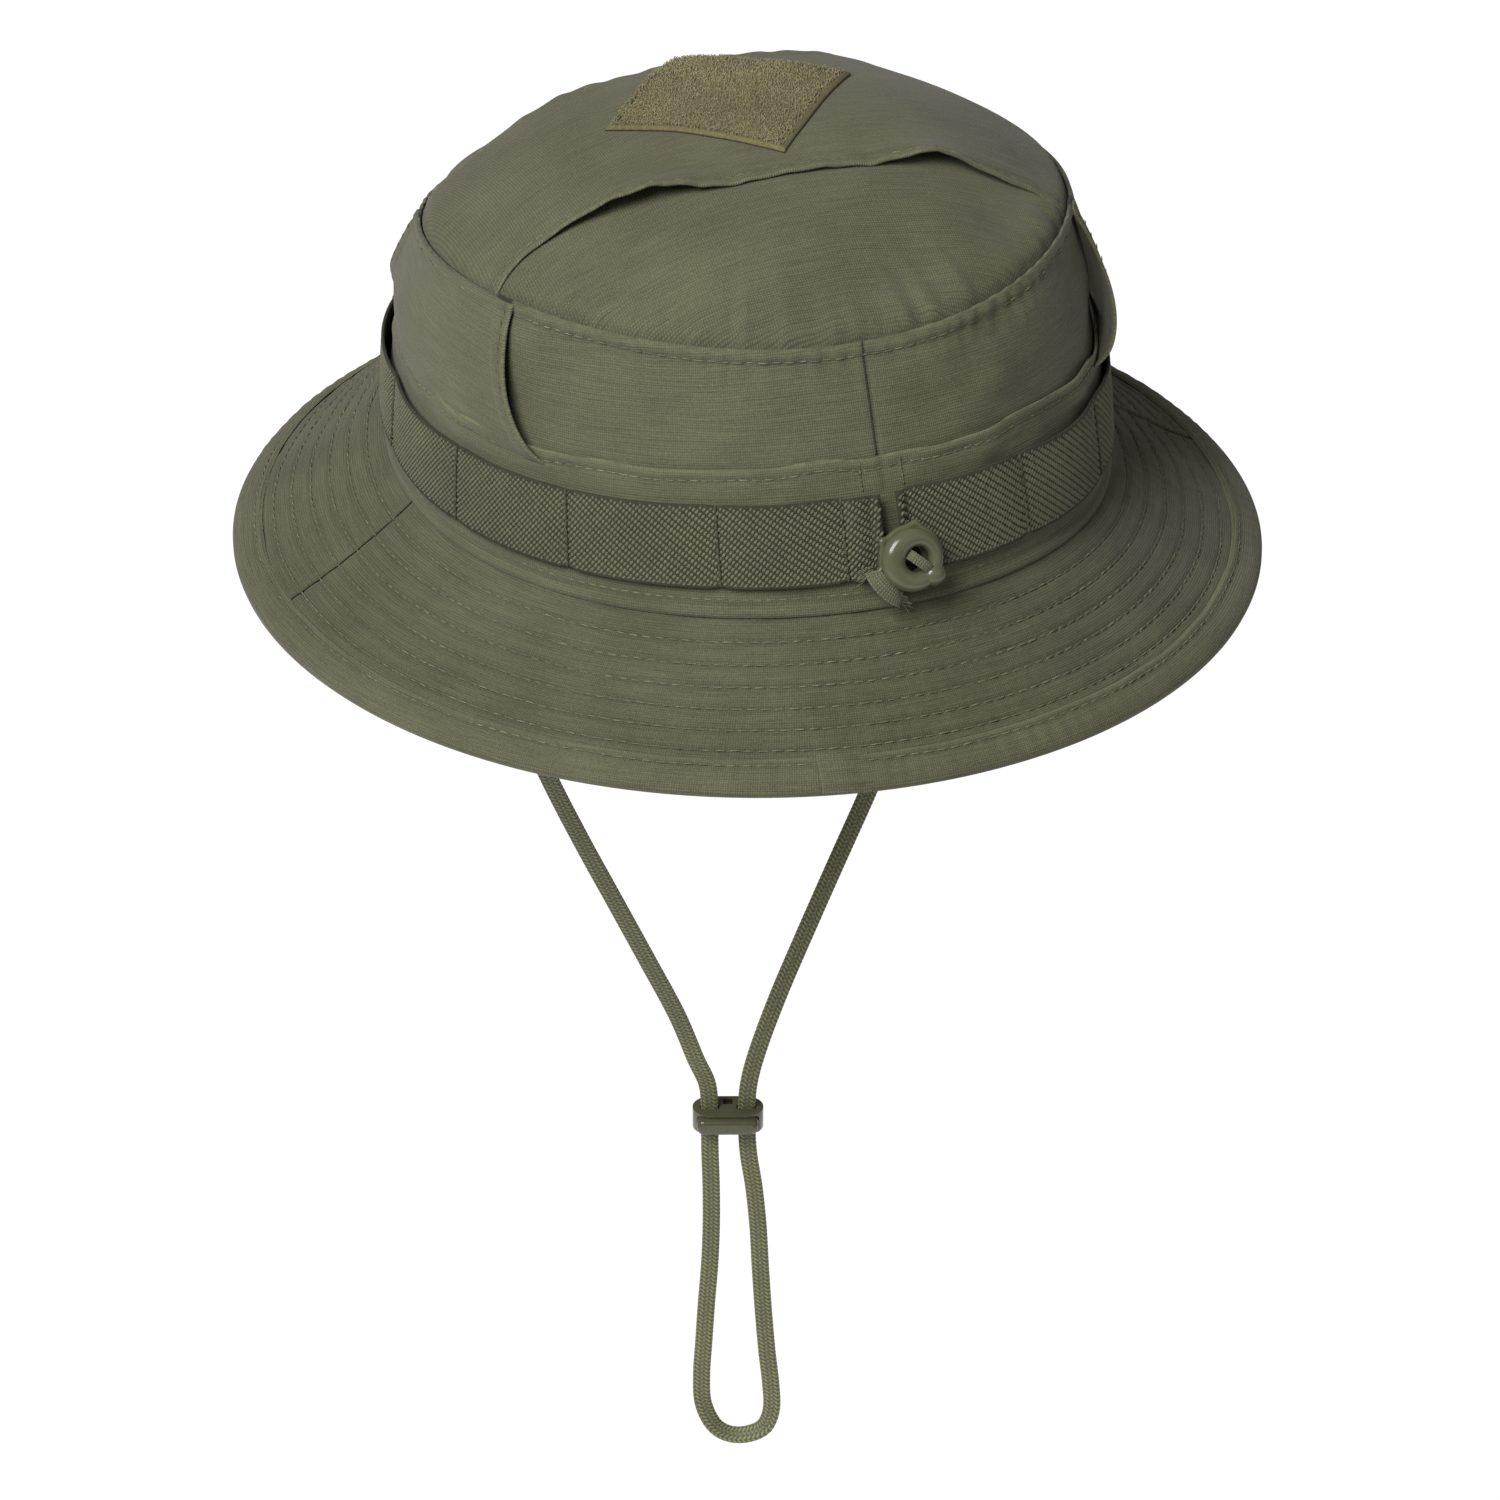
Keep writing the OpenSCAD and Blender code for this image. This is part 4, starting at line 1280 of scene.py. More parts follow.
@dataclass
class CrownTip:
    """The crown's top: two end panels, the strip over them with its vents, and the loop patch.

    Attributes:
        form: The hat's form.
        finishes: The finishes.
        vents: The four open stretches.
        hem_w: Width of the folded hem at the strip's edges.
        topstitch: Distance of the stitches from the fold.
        patch_side: Side of the loop patch.
        patch_turn: Its turn from the hat's width, in degrees.
        patch_at: Its middle.
    """

    form: HatForm
    finishes: Finishes
    vents: tuple[Vent, ...] = (
        Vent(1, 66.0, 37.0, 16.0, 5.0, 0.25),
        Vent(1, -19.0, -37.0, -54.0, 4.8, 0.8),
        Vent(-1, 58.0, 36.0, 16.0, 2.0, 0.3),
        Vent(-1, -18.0, -35.0, -56.0, 1.2, 0.4),
    )
    hem_w: float = 6.5
    topstitch: float = 1.8
    patch_side: float = 47.0
    patch_turn: float = 49.0
    patch_at: tuple[float, float] = (3.0, -5.0)
    folds: Crumple = field(default_factory=lambda: Crumple(11, 0.5, 80.0, 18.0))

    def lift(self, x: Grid, v: Grid) -> Grid:
        """How far the strip's underside stands off the tip at x and a share v of its half width."""
        rise = 0.0
        for vent in self.vents:
            rise = rise + vent.lift * vent.share(x) * np.clip(v * vent.side, 0, 1) ** 3.2
        return 1.1 + rise

    def strip_off(self, x: Grid, y: Grid, v: Grid) -> Grid:
        """The strip's outer face over the tip, with its soft folds and the furrow of its stitches."""
        edge = (1 - np.abs(v)) * self.form.strip_half
        seam = (1 - self.form.tip_share(x, y)) * self.form.tip_half[0]
        ripple = pucker(x, edge, 0.22, 9.0, 5.0, 21) * ease(seam / 6)
        stitched = dent(edge - self.topstitch, 0.22, 0.7)
        sink = -2.6 * np.exp(-((seam / 1.5) ** 2))
        return self.lift(x, v) + 0.9 + self.folds.at(x, y) * ease(seam / 12) + ripple + stitched + sink

    def hem(self, edge: Grid) -> Grid:
        """Extra thickness of the folded hem at a distance from the fold."""
        return 0.45 * ease((self.hem_w - edge) / 1.2)

    def build_strip(self) -> None:
        """The strip that runs from side to side, open along parts of both edges."""
        t, v = columns(-1, 1, 230), rows(1, -1, 104)
        y = self.form.strip_edge(1, t) * (1 + v) / 2 + self.form.strip_edge(-1, t) * (1 - v) / 2
        x = t * self.form.tip_reach(y) * 0.995
        edge = (1 - np.abs(v)) * self.form.strip_half + 0 * x
        off = self.strip_off(x, y, v) + 0.5 * self.hem(edge)
        back = off - self.form.cloth_t - self.hem(edge)
        # painted shade in the stitch furrow; lighter fold edge from painted highlight and fading
        painted_shading_and_fade = -0.12 * np.exp(-(((edge - self.topstitch) / 0.7) ** 2)) + 0.16 * np.exp(-edge / 0.7)
        cloth = Cloth(self.form.tip(x, y, off), self.form.tip(x, y, back), point(x, y, 0)[..., :2], painted_shading_and_fade)
        sew(cloth, "tip_strip", "ripstop_cloth", self.finishes.cloth, "tip_rear")

    def end_off(self, x: Grid, y: Grid) -> Grid:
        """The end panels' outer face over the tip: puckered at the seam, and sunk into it."""
        seam = (1 - self.form.tip_share(x, y)) * self.form.tip_half[1]
        around = np.rad2deg(np.arctan2(x, y)) * 1.42
        gathers = pucker(around, seam, 0.95, 13.0, 8.0, 31) + pucker(around, seam, 0.35, 5.5, 3.0, 33)
        sink = -2.2 * np.exp(-((seam / 1.7) ** 2))
        puff = 0.7 * np.exp(-(((seam - 6) / 4.5) ** 2))
        broad = Crumple(37, 0.75, 60.0, 22.0, 6).at(x, y) * ease(seam / 10)
        return 0.9 + gathers * ease(seam / 1.5) + sink + puff + broad - 0.5 * ease((seam - 30) / 20)

    def build_end(self, side: int, name: str) -> None:
        """The panel behind (side 1) or before (side -1) the strip.

        Args:
            side: Which end.
            name: The CAD node that it stands for.
        """
        form = self.form
        tuck, across = 8.0, 0.97
        t, v = columns(-across, across, 220), rows(0, 1, 76)
        near = form.strip_edge(side, t) - side * tuck
        x = side * t * form.tip_reach(near)
        far = side * form.tip_half[1] * np.sqrt(1 - (x / form.tip_half[0]) ** 2) - form.tip_forward
        y = near * (1 - v) + far * v * 0.997
        x = x + 0 * y
        off = np.minimum(self.end_off(x, y), 0.98 + 0.5 * ease((np.abs(y + form.tip_forward) - form.strip_half - 3) / 6) * 6)
        seam = (1 - form.tip_share(x, y)) * form.tip_half[1]
        # painted shade where the cloth sinks into the tip seam
        painted_shading_and_fade = -0.22 * np.exp(-((seam / 1.3) ** 2))
        cloth = Cloth(form.tip(x, y, off), form.tip(x, y, off - form.cloth_t), point(x, y, 0)[..., :2], painted_shading_and_fade)
        sew(cloth, name, "ripstop_cloth", self.finishes.cloth, "wall_front" if side < 0 else "wall_rear_left")

    def build_patch(self) -> None:
        """The square of loop pile: its ground, the loops on it and the stitches round it."""
        form, side = self.form, self.patch_side
        c, s = cos(self.patch_turn), sin(self.patch_turn)

        def at(u: Grid, v: Grid, off: Grid | float) -> Grid:
            x = self.patch_at[0] + side * (u * c - v * s)
            y = self.patch_at[1] + side * (u * s + v * c)
            ratio = (y + form.tip_forward) / (form.strip_edge(1, x / form.tip_reach(y)) + form.tip_forward)
            return form.tip(x, y, self.strip_off(x, y, ratio) + off)

        u, v = columns(-0.5, 0.5, 60), rows(-0.5, 0.5, 60)
        rim = np.minimum(0.5 - np.abs(u), 0.5 - np.abs(v)) * side
        drop = 0.5 * (1 - ease(rim / 0.9)) + 0.35 * np.exp(-(((rim - 2.0) / 0.7) ** 2))
        cloth = Cloth(at(u, v, 1.25 - drop), at(u, v, 0.15), point(u * side, v * side, 0)[..., :2])
        sew(cloth, "loop_patch", "loop_pile", self.finishes.pile_ground, "tip_strip", "laid")
        inset = 0.5 - 0.9 / side
        grid = np.linspace(-inset, inset, 40)
        gu, gv = np.meshgrid(grid, grid, indexing="ij")
        top = at(gu, gv, 1.15)
        i, j = np.meshgrid(np.arange(39), np.arange(39), indexing="ij")
        quads = np.stack([i * 40 + j, (i + 1) * 40 + j, (i + 1) * 40 + j + 1, i * 40 + j + 1], -1)
        field_mesh = add_object("loop_field_guide", top.reshape(-1, 3), quads.reshape(-1, 4))
        loops = Repeater.run(
            "loop_patch_pile",
            Pattern.ON_FACES,
            field_mesh,
            self.finishes.pile,
            Shape=self.loop_shape(),
            Pitch=0.52 * MM,
            Density=4.0e6,
            Smallest=0.75,
            Largest=1.25,
            Seed=5,
        )
        place(loops, "hat", "loop_pile")
        guide = Guide()
        line = np.linspace(-1, 1, 30)
        r = 0.5 - 2.0 / side
        for turn in range(4):
            lu, lv = (line * r, 0 * line + r) if turn % 2 else (0 * line + r, line * r)
            if turn > 1:
                lu, lv = -lu, -lv
            guide.add_row(at(lu, lv, 1.3), np.broadcast_to([0.0, 0.0, 1.0], (30, 3)))
        seam = Repeater.run(
            "loop_patch_stitches", Pattern.ON_PATH, guide.build("patch_rows"), self.finishes.thread,
            Shape=capsule("patch_stitch", 2.2, 0.17, 0.12), Pitch=2.7 * MM, Smallest=0.9, Largest=1.1,
        )
        place(seam, "hat", "sewing_thread")

    @staticmethod
    def loop_shape() -> bpy.types.Object:
        """One arch of fine yarn, 0.7 mm high, three-sided."""
        radius, wide, high, sides, steps = 0.095, 0.28, 0.75, 3, 5
        rings = []
        for k in range(steps + 1):
            t = 180 * k / steps
            middle = np.array([wide * cos(t), 0.10 * sin(2 * t), high * sin(t) - 0.1])
            out = np.array([cos(t), 0.0, sin(t)])
            for m in range(sides):
                turn = 360 * m / sides
                rings.append(middle + radius * (cos(turn) * out + sin(turn) * np.array([0.0, 1.0, 0.0])))
        faces = [
            [i * sides + m, i * sides + (m + 1) % sides, (i + 1) * sides + (m + 1) % sides, (i + 1) * sides + m]
            for i in range(steps)
            for m in range(sides)
        ]
        return small_shape("pile_loop", np.array(rings), faces)

    def build_stitches(self) -> None:
        """Topstitching along the strip's two edges."""
        guide = Guide()
        t = np.linspace(-0.985, 0.985, 240)
        for side in (1, -1):
            v = side * (1 - self.topstitch / self.form.strip_half) + 0 * t

            def surface(tt: Grid, vv: Grid) -> Grid:
                y = self.form.strip_edge(1, tt) * (1 + vv) / 2 + self.form.strip_edge(-1, tt) * (1 - vv) / 2
                x = tt * self.form.tip_reach(y) * 0.995
                hem = 0.5 * self.hem((1 - np.abs(vv)) * self.form.strip_half)
                return self.form.tip(x, y, self.strip_off(x, y, vv) + hem)

            here = surface(t, v)
            ahead, beside = surface(t + 1e-3, v) - here, surface(t, v + 1e-2) - here
            normal = unit(np.cross(ahead, beside))
            guide.add_row(here, normal * np.sign(normal[:, 2:]))
        made = Repeater.run(
            "tip_strip_stitches", Pattern.ON_PATH, guide.build("strip_rows"), self.finishes.thread,
            Shape=capsule("strip_stitch", 2.5, 0.16, 0.1), Pitch=3.1 * MM, Smallest=0.9, Largest=1.08,
        )
        place(made, "hat", "sewing_thread")

    def build_net(self) -> None:
        """The net under the two top vents."""
        form = self.form
        half = form.strip_half - 2
        guide = Guide()
        pitch = 2.4
        for shear in (-1, 1):
            for start in np.arange(-130.0, 130.0, pitch):
                y = np.linspace(-half, half, 34) - form.tip_forward
                x = start + shear * y * 0.6
                inside = np.abs(x) < form.tip_reach(y) * 0.93
                if inside.sum() > 2:
                    guide.add_row(form.tip(x, y, -0.5 + 0.12 * shear)[inside], np.zeros((inside.sum(), 3)))
        made = Repeater.run(
            "tip_vent_net", Pattern.THREADS, guide.build("tip_net_lines"), self.finishes.net, Radius=0.2 * MM
        )
        place(made, "hat", "vent_net", "tip_vent_mesh")

    def build(self) -> None:
        """Builds the whole tip."""
        self.build_strip()
        self.build_end(1, "tip_rear")
        self.build_end(-1, "tip_front")
        self.build_patch()
        self.build_stitches()
        self.build_net()


@dataclass
class CrownWall:
    """The crown's wall: three panels, two flaps over the side vents, nets and the seam tape.

    Attributes:
        form: The hat's form.
        finishes: The finishes.
        panel_from: Angle from the back to a side panel's rear edge.
        panel_tuck: Degrees that a wall panel runs on under it.
        panel_low: Rise of a side panel's lower edge, behind the band.
        lifts: How far the left and right side panels' open edges stand off.
        lip: How far the wall's folded top edge stands out.
        seam_stitch: Distance of the stitch row below the tip seam.
    """

    form: HatForm
    finishes: Finishes
    panel_from: float = 65.0
    panel_tuck: float = 4.0
    panel_low: float = 30.5
    lifts: tuple[float, float] = (3.4, 6.0)
    lip: float = 0.8
    seam_stitch: float = 2.3

    def face_off(self, a: Grid, rise: Grid) -> Grid:
        """The wall's outer face: soft slanting folds, the puckered seam and its rolled lip."""
        along = self.form.round_length(a)
        below = self.form.wall_span(a) - rise
        open_wall = ease((rise - 35) / 9) * ease(below / 7)
        clear = 1 - ease((20 - np.abs(np.abs(a) - 90)) / -6 + 1)
        folds = Crumple(41, 0.95, 62.0, 17.0).at(along, rise * 1.2) * open_wall
        slant = 1.0 * (0.5 + 0.5 * sin((along * 0.8 + rise) * 360 / 46)) ** 3 * open_wall * ease((-a - 12) / 12)
        gathers = pucker(along, below - 2, 0.32, 6.5, 4.5, 43) * ease((rise - 36) / 6)
        rolled = self.lip * ease((3.2 - below) / 1.6)
        seam = -0.45 * np.exp(-((along / 0.7) ** 2)) * ease((rise - 20) / 5)
        flat = np.minimum(0.0, folds + slant) + np.maximum(0.0, folds + slant) * (1 - clear * 0.9)
        return flat + gathers + rolled + dent(below - self.seam_stitch, 0.3, 0.6) + seam

    def panel(self, start: float, end: float, name: str) -> None:
        """One wall panel between two angles.

        Args:
            start: First angle.
            end: Last angle.
            name: The CAD node that it stands for.
        """
        count = max(120, round((end - start) * 1.75))
        a, h = columns(start, end, count), rows(1.006, 0.004, 84)
        rise = h * self.form.wall_span(a)
        turned = np.where(a > 180, a - 360, a)
        off = self.face_off(turned, rise)
        below = self.form.wall_span(a) - rise
        thick = self.form.cloth_t + 0.35 * ease((7 - below) / 1.5)
        # lighter rolled lip from painted highlight and fading; painted shade in the stitch furrow
        painted_shading_and_fade = 0.14 * np.exp(-((below / 0.8) ** 2)) - 0.18 * np.exp(-(((below - self.seam_stitch) / 0.6) ** 2))
        # painted shadow on the wall under each flap's open edge, and painted shade in the back seam's furrow
        painted_shadow_under_flap = ease((25.5 - np.abs(np.abs(turned) - 90)) / 1.5)
        painted_shading_and_fade = painted_shading_and_fade - 1.5 * painted_shadow_under_flap - 0.6 * np.exp(-((self.form.round_length(turned) / 0.5) ** 2))
        flat = point(self.form.round_length(a), rise, 0)[..., :2]
        cloth = Cloth(self.form.wall(a, h, off), self.form.wall(a, h, off - thick), flat, painted_shading_and_fade)
        sew(cloth, name, "ripstop_cloth", self.finishes.cloth, "base_band")

    def flap_off(self, a: Grid, h: Grid, side: int) -> Grid:
        """How far a side panel's inner face stands off the wall."""
        half = self.flap_half(h)
        v = (np.abs(a) - 90) / half
        edge = (1 - np.abs(v)) * half * 1.6
        lift = self.lifts[0 if side > 0 else 1]
        rear = sin(180 * np.clip(h, 0, 1) ** 0.62)
        wave = Crumple(51 + side, 0.35, 40.0, 14.0, 5).at(a * 1.6, h * 28) * ease(h * 5) * ease((1 - h) * 5)
        spread = 0.12 + 0.88 * np.abs(v) ** 3
        loose = ease(h / 0.12) * ease((1 - h) / 0.15)
        return 0.05 + 0.4 * loose + lift * rear * spread + wave * ease(edge / 3) + 0.2 * ease((4 - edge) / 2) * loose

    def flap_half(self, h: Grid) -> Grid:
        """Half a side panel's width, in degrees: it spreads towards its lower edge."""
        return 90 - self.panel_from + 9.0 * (1 - np.clip(h, 0, 1)) ** 2.3

    def side_panel(self, side: int, name: str) -> None:
        """A flap over a side vent, hemmed along its front and rear edges.

        Args:
            side: 1 for the wearer's left, -1 for the right.
            name: The CAD node that it stands for.
        """
        hh, v = columns(0, 1, 80), rows(-1, 1, 120)
        half = self.flap_half(hh)
        angle = 90 + v * half
        low = self.panel_low / self.form.wall_span(angle)
        share = low + (1.0 - low) * hh
        a = side * angle
        off = self.flap_off(a, hh + 0 * a, side)
        edge = (half - np.abs(angle - 90)) * 1.6
        hem = 0.4 * ease((6 - edge) / 1.2)
        below = (1 - share) * self.form.wall_span(angle)
        grooves = dent(edge - 1.8, 0.22, 0.6) + dent(below - self.seam_stitch, 0.3, 0.6)
        rolled = 0.6 * self.lip * ease((3.2 - below) / 1.6)
        face = off + self.form.cloth_t + hem + grooves + rolled
        # lighter hem fold from painted highlight and fading; painted shade in the stitch furrow
        painted_shading_and_fade = 0.15 * np.exp(-edge / 0.7) - 0.15 * np.exp(-(((edge - 1.8) / 0.6) ** 2))
        flat = point(self.form.round_length(a), share * self.form.wall_span(angle), 0)[..., :2]
        cloth = Cloth(self.form.wall(a, share, face), self.form.wall(a, share, off), flat, painted_shading_and_fade)
        sew(cloth, name, "ripstop_cloth", self.finishes.cloth, "wall_front", "hung")
        self.flap_stitches(side, f"{name}_stitches")

    def flap_stitches(self, side: int, name: str) -> None:
        """Topstitching along a side panel's two open edges."""
        guide = Guide()
        h = np.linspace(0.15, 0.93, 40)
        for way in (-1, 1):
            a = side * (90 + way * (self.flap_half(h) - 1.8 / 1.6))
            low = self.panel_low / self.form.wall_span(a)
            share = low + (1.0 - low) * h
            off = self.flap_off(a, h, side) + self.form.cloth_t + 0.2
            guide.add_row(self.form.wall(a, share, off), self.form.outward(a))
        made = Repeater.run(
            name, Pattern.ON_PATH, guide.build("flap_rows"), self.finishes.thread,
            Shape=capsule("flap_stitch", 2.5, 0.16, 0.1), Pitch=3.1 * MM, Smallest=0.9, Largest=1.08,
        )
        place(made, "hat", "sewing_thread")

    def net(self, side: int, name: str) -> None:
        """The net behind a side panel."""
        half = 90 - self.panel_from - self.panel_tuck + 2
        guide = Guide()
        for shear in (-1, 1):
            for start in np.arange(-60.0, 60.0, 1.6):
                rise = np.linspace(35, 52, 20)
                turn = start + shear * (rise - 43) * 0.5
                inside = np.abs(turn) < half
                if inside.sum() > 2:
                    a = side * (90 + turn)
                    points = self.form.wall_at(a, rise, -1.1 - 0.1 * shear)[inside]
                    guide.add_row(points, np.zeros((inside.sum(), 3)))
        made = Repeater.run(
            f"{name}_threads", Pattern.THREADS, guide.build("net_lines"), self.finishes.net, Radius=0.2 * MM
        )
        place(made, "hat", "vent_net", name)

    def stitches(self) -> None:
        """The row below the tip seam, all the way round."""
        a = np.linspace(-180, 180, 720, endpoint=False)
        rise = self.form.wall_span(a) - self.seam_stitch
        off = self.face_off(a, rise) + 0.05
        near_flap = ease((90 - self.panel_from - np.abs(np.abs(a) - 90)) / 2)
        guide = Guide()
        guide.add_row(self.form.wall_at(a, rise, off + 0.5 * near_flap), self.form.outward(a), joined=True)
        made = Repeater.run(
            "tip_seam_stitches", Pattern.ON_PATH, guide.build("tip_seam_row"), self.finishes.thread,
            Shape=capsule("seam_stitch", 2.6, 0.18, 0.12), Pitch=3.2 * MM, Smallest=0.88, Largest=1.1,
        )
        place(made, "hat", "sewing_thread")

    def tape(self) -> None:
        """The tape that binds the tip seam inside."""
        a, h = columns(-180, 180, 420), rows(0.965, 0.83, 20)
        along = self.form.round_length(a)
        wave = 0.12 * away_from_front(a) * Crumple(61, 1.0, 30.0, 9.0, 5).at(along, h * 60)
        outer = -1.1 + wave - 0 * h
        flat = point(along, h * 60, 0)[..., :2]
        cloth = Cloth(self.form.wall(a, h, outer), self.form.wall(a, h, outer - 0.5), flat, joined=True)
        sew(cloth, "tip_seam_tape", "lining_cloth", self.finishes.lining, "wall_front")

    def build(self) -> None:
        """Builds the whole wall."""
        reach = self.panel_from + self.panel_tuck
        self.panel(0.0, reach, "wall_rear_left")
        self.panel(-reach, 0.0, "wall_rear_right")
        self.panel(180 - reach, 180 + reach, "wall_front")
        self.side_panel(1, "side_panel_left")
        self.side_panel(-1, "side_panel_right")
        self.net(1, "side_vent_mesh_left")
        self.net(-1, "side_vent_mesh_right")
        self.stitches()
        self.tape()


# ---------------------------------------------------------------- bands


@dataclass
class Bands:
    """The cloth band, the webbing on it, the sweatband inside and what is sewn to them.

    Attributes:
        form: The hat's form.
        finishes: The finishes.
        band_h: Height of the cloth band.
        webbing_rise: Rise of the webbing's lower edge.
        webbing_w: Width of the webbing.
        gap: Half the gap between the webbing's two ends, in degrees.
        tacks: Angles of the seams that part the webbing into loops.
        rib_pitch: Distance between two cords of the webbing, along it.
        rib_slope: Their slope from the webbing's length, in degrees.
        sweatband_w: Width of the sweatband.
    """

    form: HatForm
    finishes: Finishes
    band_h: float = 34.0
    webbing_rise: float = 7.0
    webbing_w: float = 19.5
    gap: float = 1.35
    tacks: tuple[float, ...] = (
        7.5, 27, 51.5, 74.5, 98, 121.5, 145, 168.5, 192, 215.5, 239, 262.5, 286, 310, 334.5
    )
    rib_pitch: float = 1.32
    rib_slope: float = 47.0
    sweatband_w: float = 30.0

    def band_off(self, a: Grid, rise: Grid) -> Grid:
        """The cloth band's outer face: a crisp top fold that waves, and a rolled lower fold."""
        along = self.form.round_length(a)
        top = self.band_h - rise
        keep = away_from_front(a)
        near_top = ease((rise - 25) / 6)
        wave = Crumple(71, 0.7, 48.0, 13.0, 7).at(along) * near_top * keep
        folds = Crumple(73, 0.45, 30.0, 9.0, 7).at(along, rise * 1.5) * near_top * keep
        rolled = 0.7 * ease((3.4 - rise) / 2.6) - 0.8 * ease((1.1 - rise) / 1.4)
        grooves = dent(top - 2.2, 0.3, 0.65) + dent(rise - 3.2, 0.3, 0.6)
        seam = -0.4 * np.exp(-((along / 0.8) ** 2)) * near_top
        over_flap = 0.45 * ease((36 - np.abs(np.abs(a) - 90)) / 3) * near_top
        return 1.0 + over_flap + np.maximum(wave, -0.25) + folds * ease(top / 4) + rolled + grooves + seam

    def top_wave(self, a: Grid) -> Grid:
        """How far the band's top edge wanders up and down."""
        return Crumple(75, 0.75, 52.0, 15.0, 6).at(self.form.round_length(a)) * away_from_front(a)

    def cloth_band(self) -> None:
        """The band, its slot hidden behind the webbing's gap."""
        a, share = columns(-180, 180, 700), rows(1, 0, 48)
        rise = share * (self.band_h + self.top_wave(a) * share**4) - 0.9 * (1 - share) ** 6
        level = 0.35 + share * (self.band_h - 0.35) + 0 * a
        off = self.band_off(a, level)
        top = self.band_h - level
        thick = self.form.cloth_t + 0.2 * ease((5 - top) / 1.2)
        # lighter top fold from painted highlight and fading; painted shade in both stitch furrows and in the back seam
        painted_shading_and_fade = (
            0.2 * np.exp(-top / 0.6)
            - 0.16 * np.exp(-(((top - 2.2) / 0.6) ** 2))
            - 0.16 * np.exp(-(((level - 3.2) / 0.6) ** 2))
            - 0.3 * np.exp(-((self.form.round_length(a) / 0.6) ** 2)) * ease((level - 25) / 3)
        )
        flat = point(self.form.round_length(a), rise, 0)[..., :2]
        cloth = Cloth(
            self.form.wall_at(a, rise, off), self.form.wall_at(a, rise, off - thick), flat, painted_shading_and_fade, joined=True
        )
        sew(cloth, "base_band", "ripstop_cloth", self.finishes.cloth, "wall_front")
        guide = Guide()
        ring = np.linspace(-180, 180, 760, endpoint=False)
        for level_at in (self.band_h - 2.2, 3.2):
            level = level_at + 0 * ring
            rise = level + (self.top_wave(ring) if level_at > 20 else 0)
            points = self.form.wall_at(ring, rise, self.band_off(ring, level) + 0.05)
            guide.add_row(points, self.form.outward(ring), joined=True)
        made = Repeater.run(
            "base_band_stitches", Pattern.ON_PATH, guide.build("band_rows"), self.finishes.thread,
            Shape=capsule("band_stitch", 2.5, 0.18, 0.12), Pitch=3.1 * MM, Smallest=0.88, Largest=1.1,
        )
        place(made, "hat", "sewing_thread")

    def tack_list(self) -> Grid:
        """Every place where the webbing is held, its two ends among them."""
        return np.array([self.gap + 1.2, *self.tacks, 360 - self.gap - 1.2])

    def webbing_off(self, a: Grid, share: Grid) -> Grid:
        """The webbing's inner face: held at each seam, standing off between them."""
        held = self.tack_list()
        place_in = np.clip(np.searchsorted(held, a) - 1, 0, len(held) - 2)
        part = np.clip((a - held[place_in]) / (held[place_in + 1] - held[place_in]), 0, 1)
        bulge = (sin(180 * part) ** 0.7) * (0.75 + 0.45 * sin(77 * (place_in + 1)))
        loose = 1.6 * ease((3.2 - np.minimum(a, 360 - a)) / 1.2)
        return 1.65 + bulge * (0.5 + 0.9 * share) + loose

    def webbing_point(self, a: Grid, share: Grid, off: float) -> Grid:
        """A point of the webbing at a share of its width."""
        nearest = np.abs(np.asarray(a)[..., None] - self.tack_list()).min(-1)
        pinch = 0.45 * np.exp(-((nearest / 1.1) ** 2))
        rise = self.webbing_rise + pinch + share * (self.webbing_w - 2 * pinch)
        return self.form.wall_at(a, rise, self.webbing_off(a, share) + off)

    def webbing(self) -> None:
        """The webbing's ground and the slanting twisted cords that cover it."""
        start, end = self.gap, 360 - self.gap
        a, share = columns(start, end, 700), rows(1, 0, 14)
        along = self.form.round_length(a)
        flat = point(along, share * self.webbing_w, 0)[..., :2]
        bead = 0.35 * np.exp(-(((0.5 - np.abs(share - 0.5)) / 0.045) ** 2))
        cloth = Cloth(
            self.webbing_point(a, share, 0.55) + self.form.outward(a) * bead[..., None] * np.ones((len(a), 1, 1)),
            self.webbing_point(a, share, 0.0),
            flat,
        )
        # the ground takes the dark painted-shade finish between the cords
        sew(cloth, "foliage_webbing", "elastic_webbing", self.finishes.webbing_ground_shade, "base_band")
        self.webbing_cords(start, end)

    def webbing_cords(self, start: float, end: float) -> None:
        """Short twists of yarn, end to end along each slanting cord."""
        form = self.form
        lean = 1 / math.tan(math.radians(self.rib_slope))
        per_mm = 180 / math.pi / (sum(form.crown) / 2)
        steps = 17
        first = form.round_length(start) - self.webbing_w * lean
        count = int((form.round_length(end) - first) / self.rib_pitch)
        k = np.arange(count)[:, None]
        share = np.clip((np.arange(steps)[None, :] + 0.5 + 0.5 * (k % 2 - 0.5)) / steps, 0.02, 0.98)
        along = first + k * self.rib_pitch + (1 - share) * self.webbing_w * lean
        a = along * per_mm
        inside = (a > start + 0.25) & (a < end - 0.25)
        here = self.webbing_point(a, share, 0.62)
        ahead = self.webbing_point(a - 0.1 * lean * per_mm * self.webbing_w, np.clip(share + 0.1, 0, 1.1), 0.62) - here
        guide = Guide()
        guide.add_points(here[inside], form.outward(a)[inside], unit(ahead)[inside])
        length = self.webbing_w / math.sin(math.radians(self.rib_slope)) / steps
        cords = Repeater.run(
            "foliage_webbing_cords", Pattern.ON_POINTS, guide.build("webbing_points"), self.finishes.webbing,
            Shape=self.twist("webbing_twist", length * 1.0, 0.45, 0.46), Smallest=0.9, Largest=1.06,
        )
        place(cords, "hat", "elastic_webbing")
        edge = Guide()
        for share_at, shift in ((0.985, 0.0), (0.015, 0.5)):
            along = np.arange(form.round_length(start) + 0.4, form.round_length(end) - 0.4, self.rib_pitch)
            a = (along + shift * self.rib_pitch) * per_mm
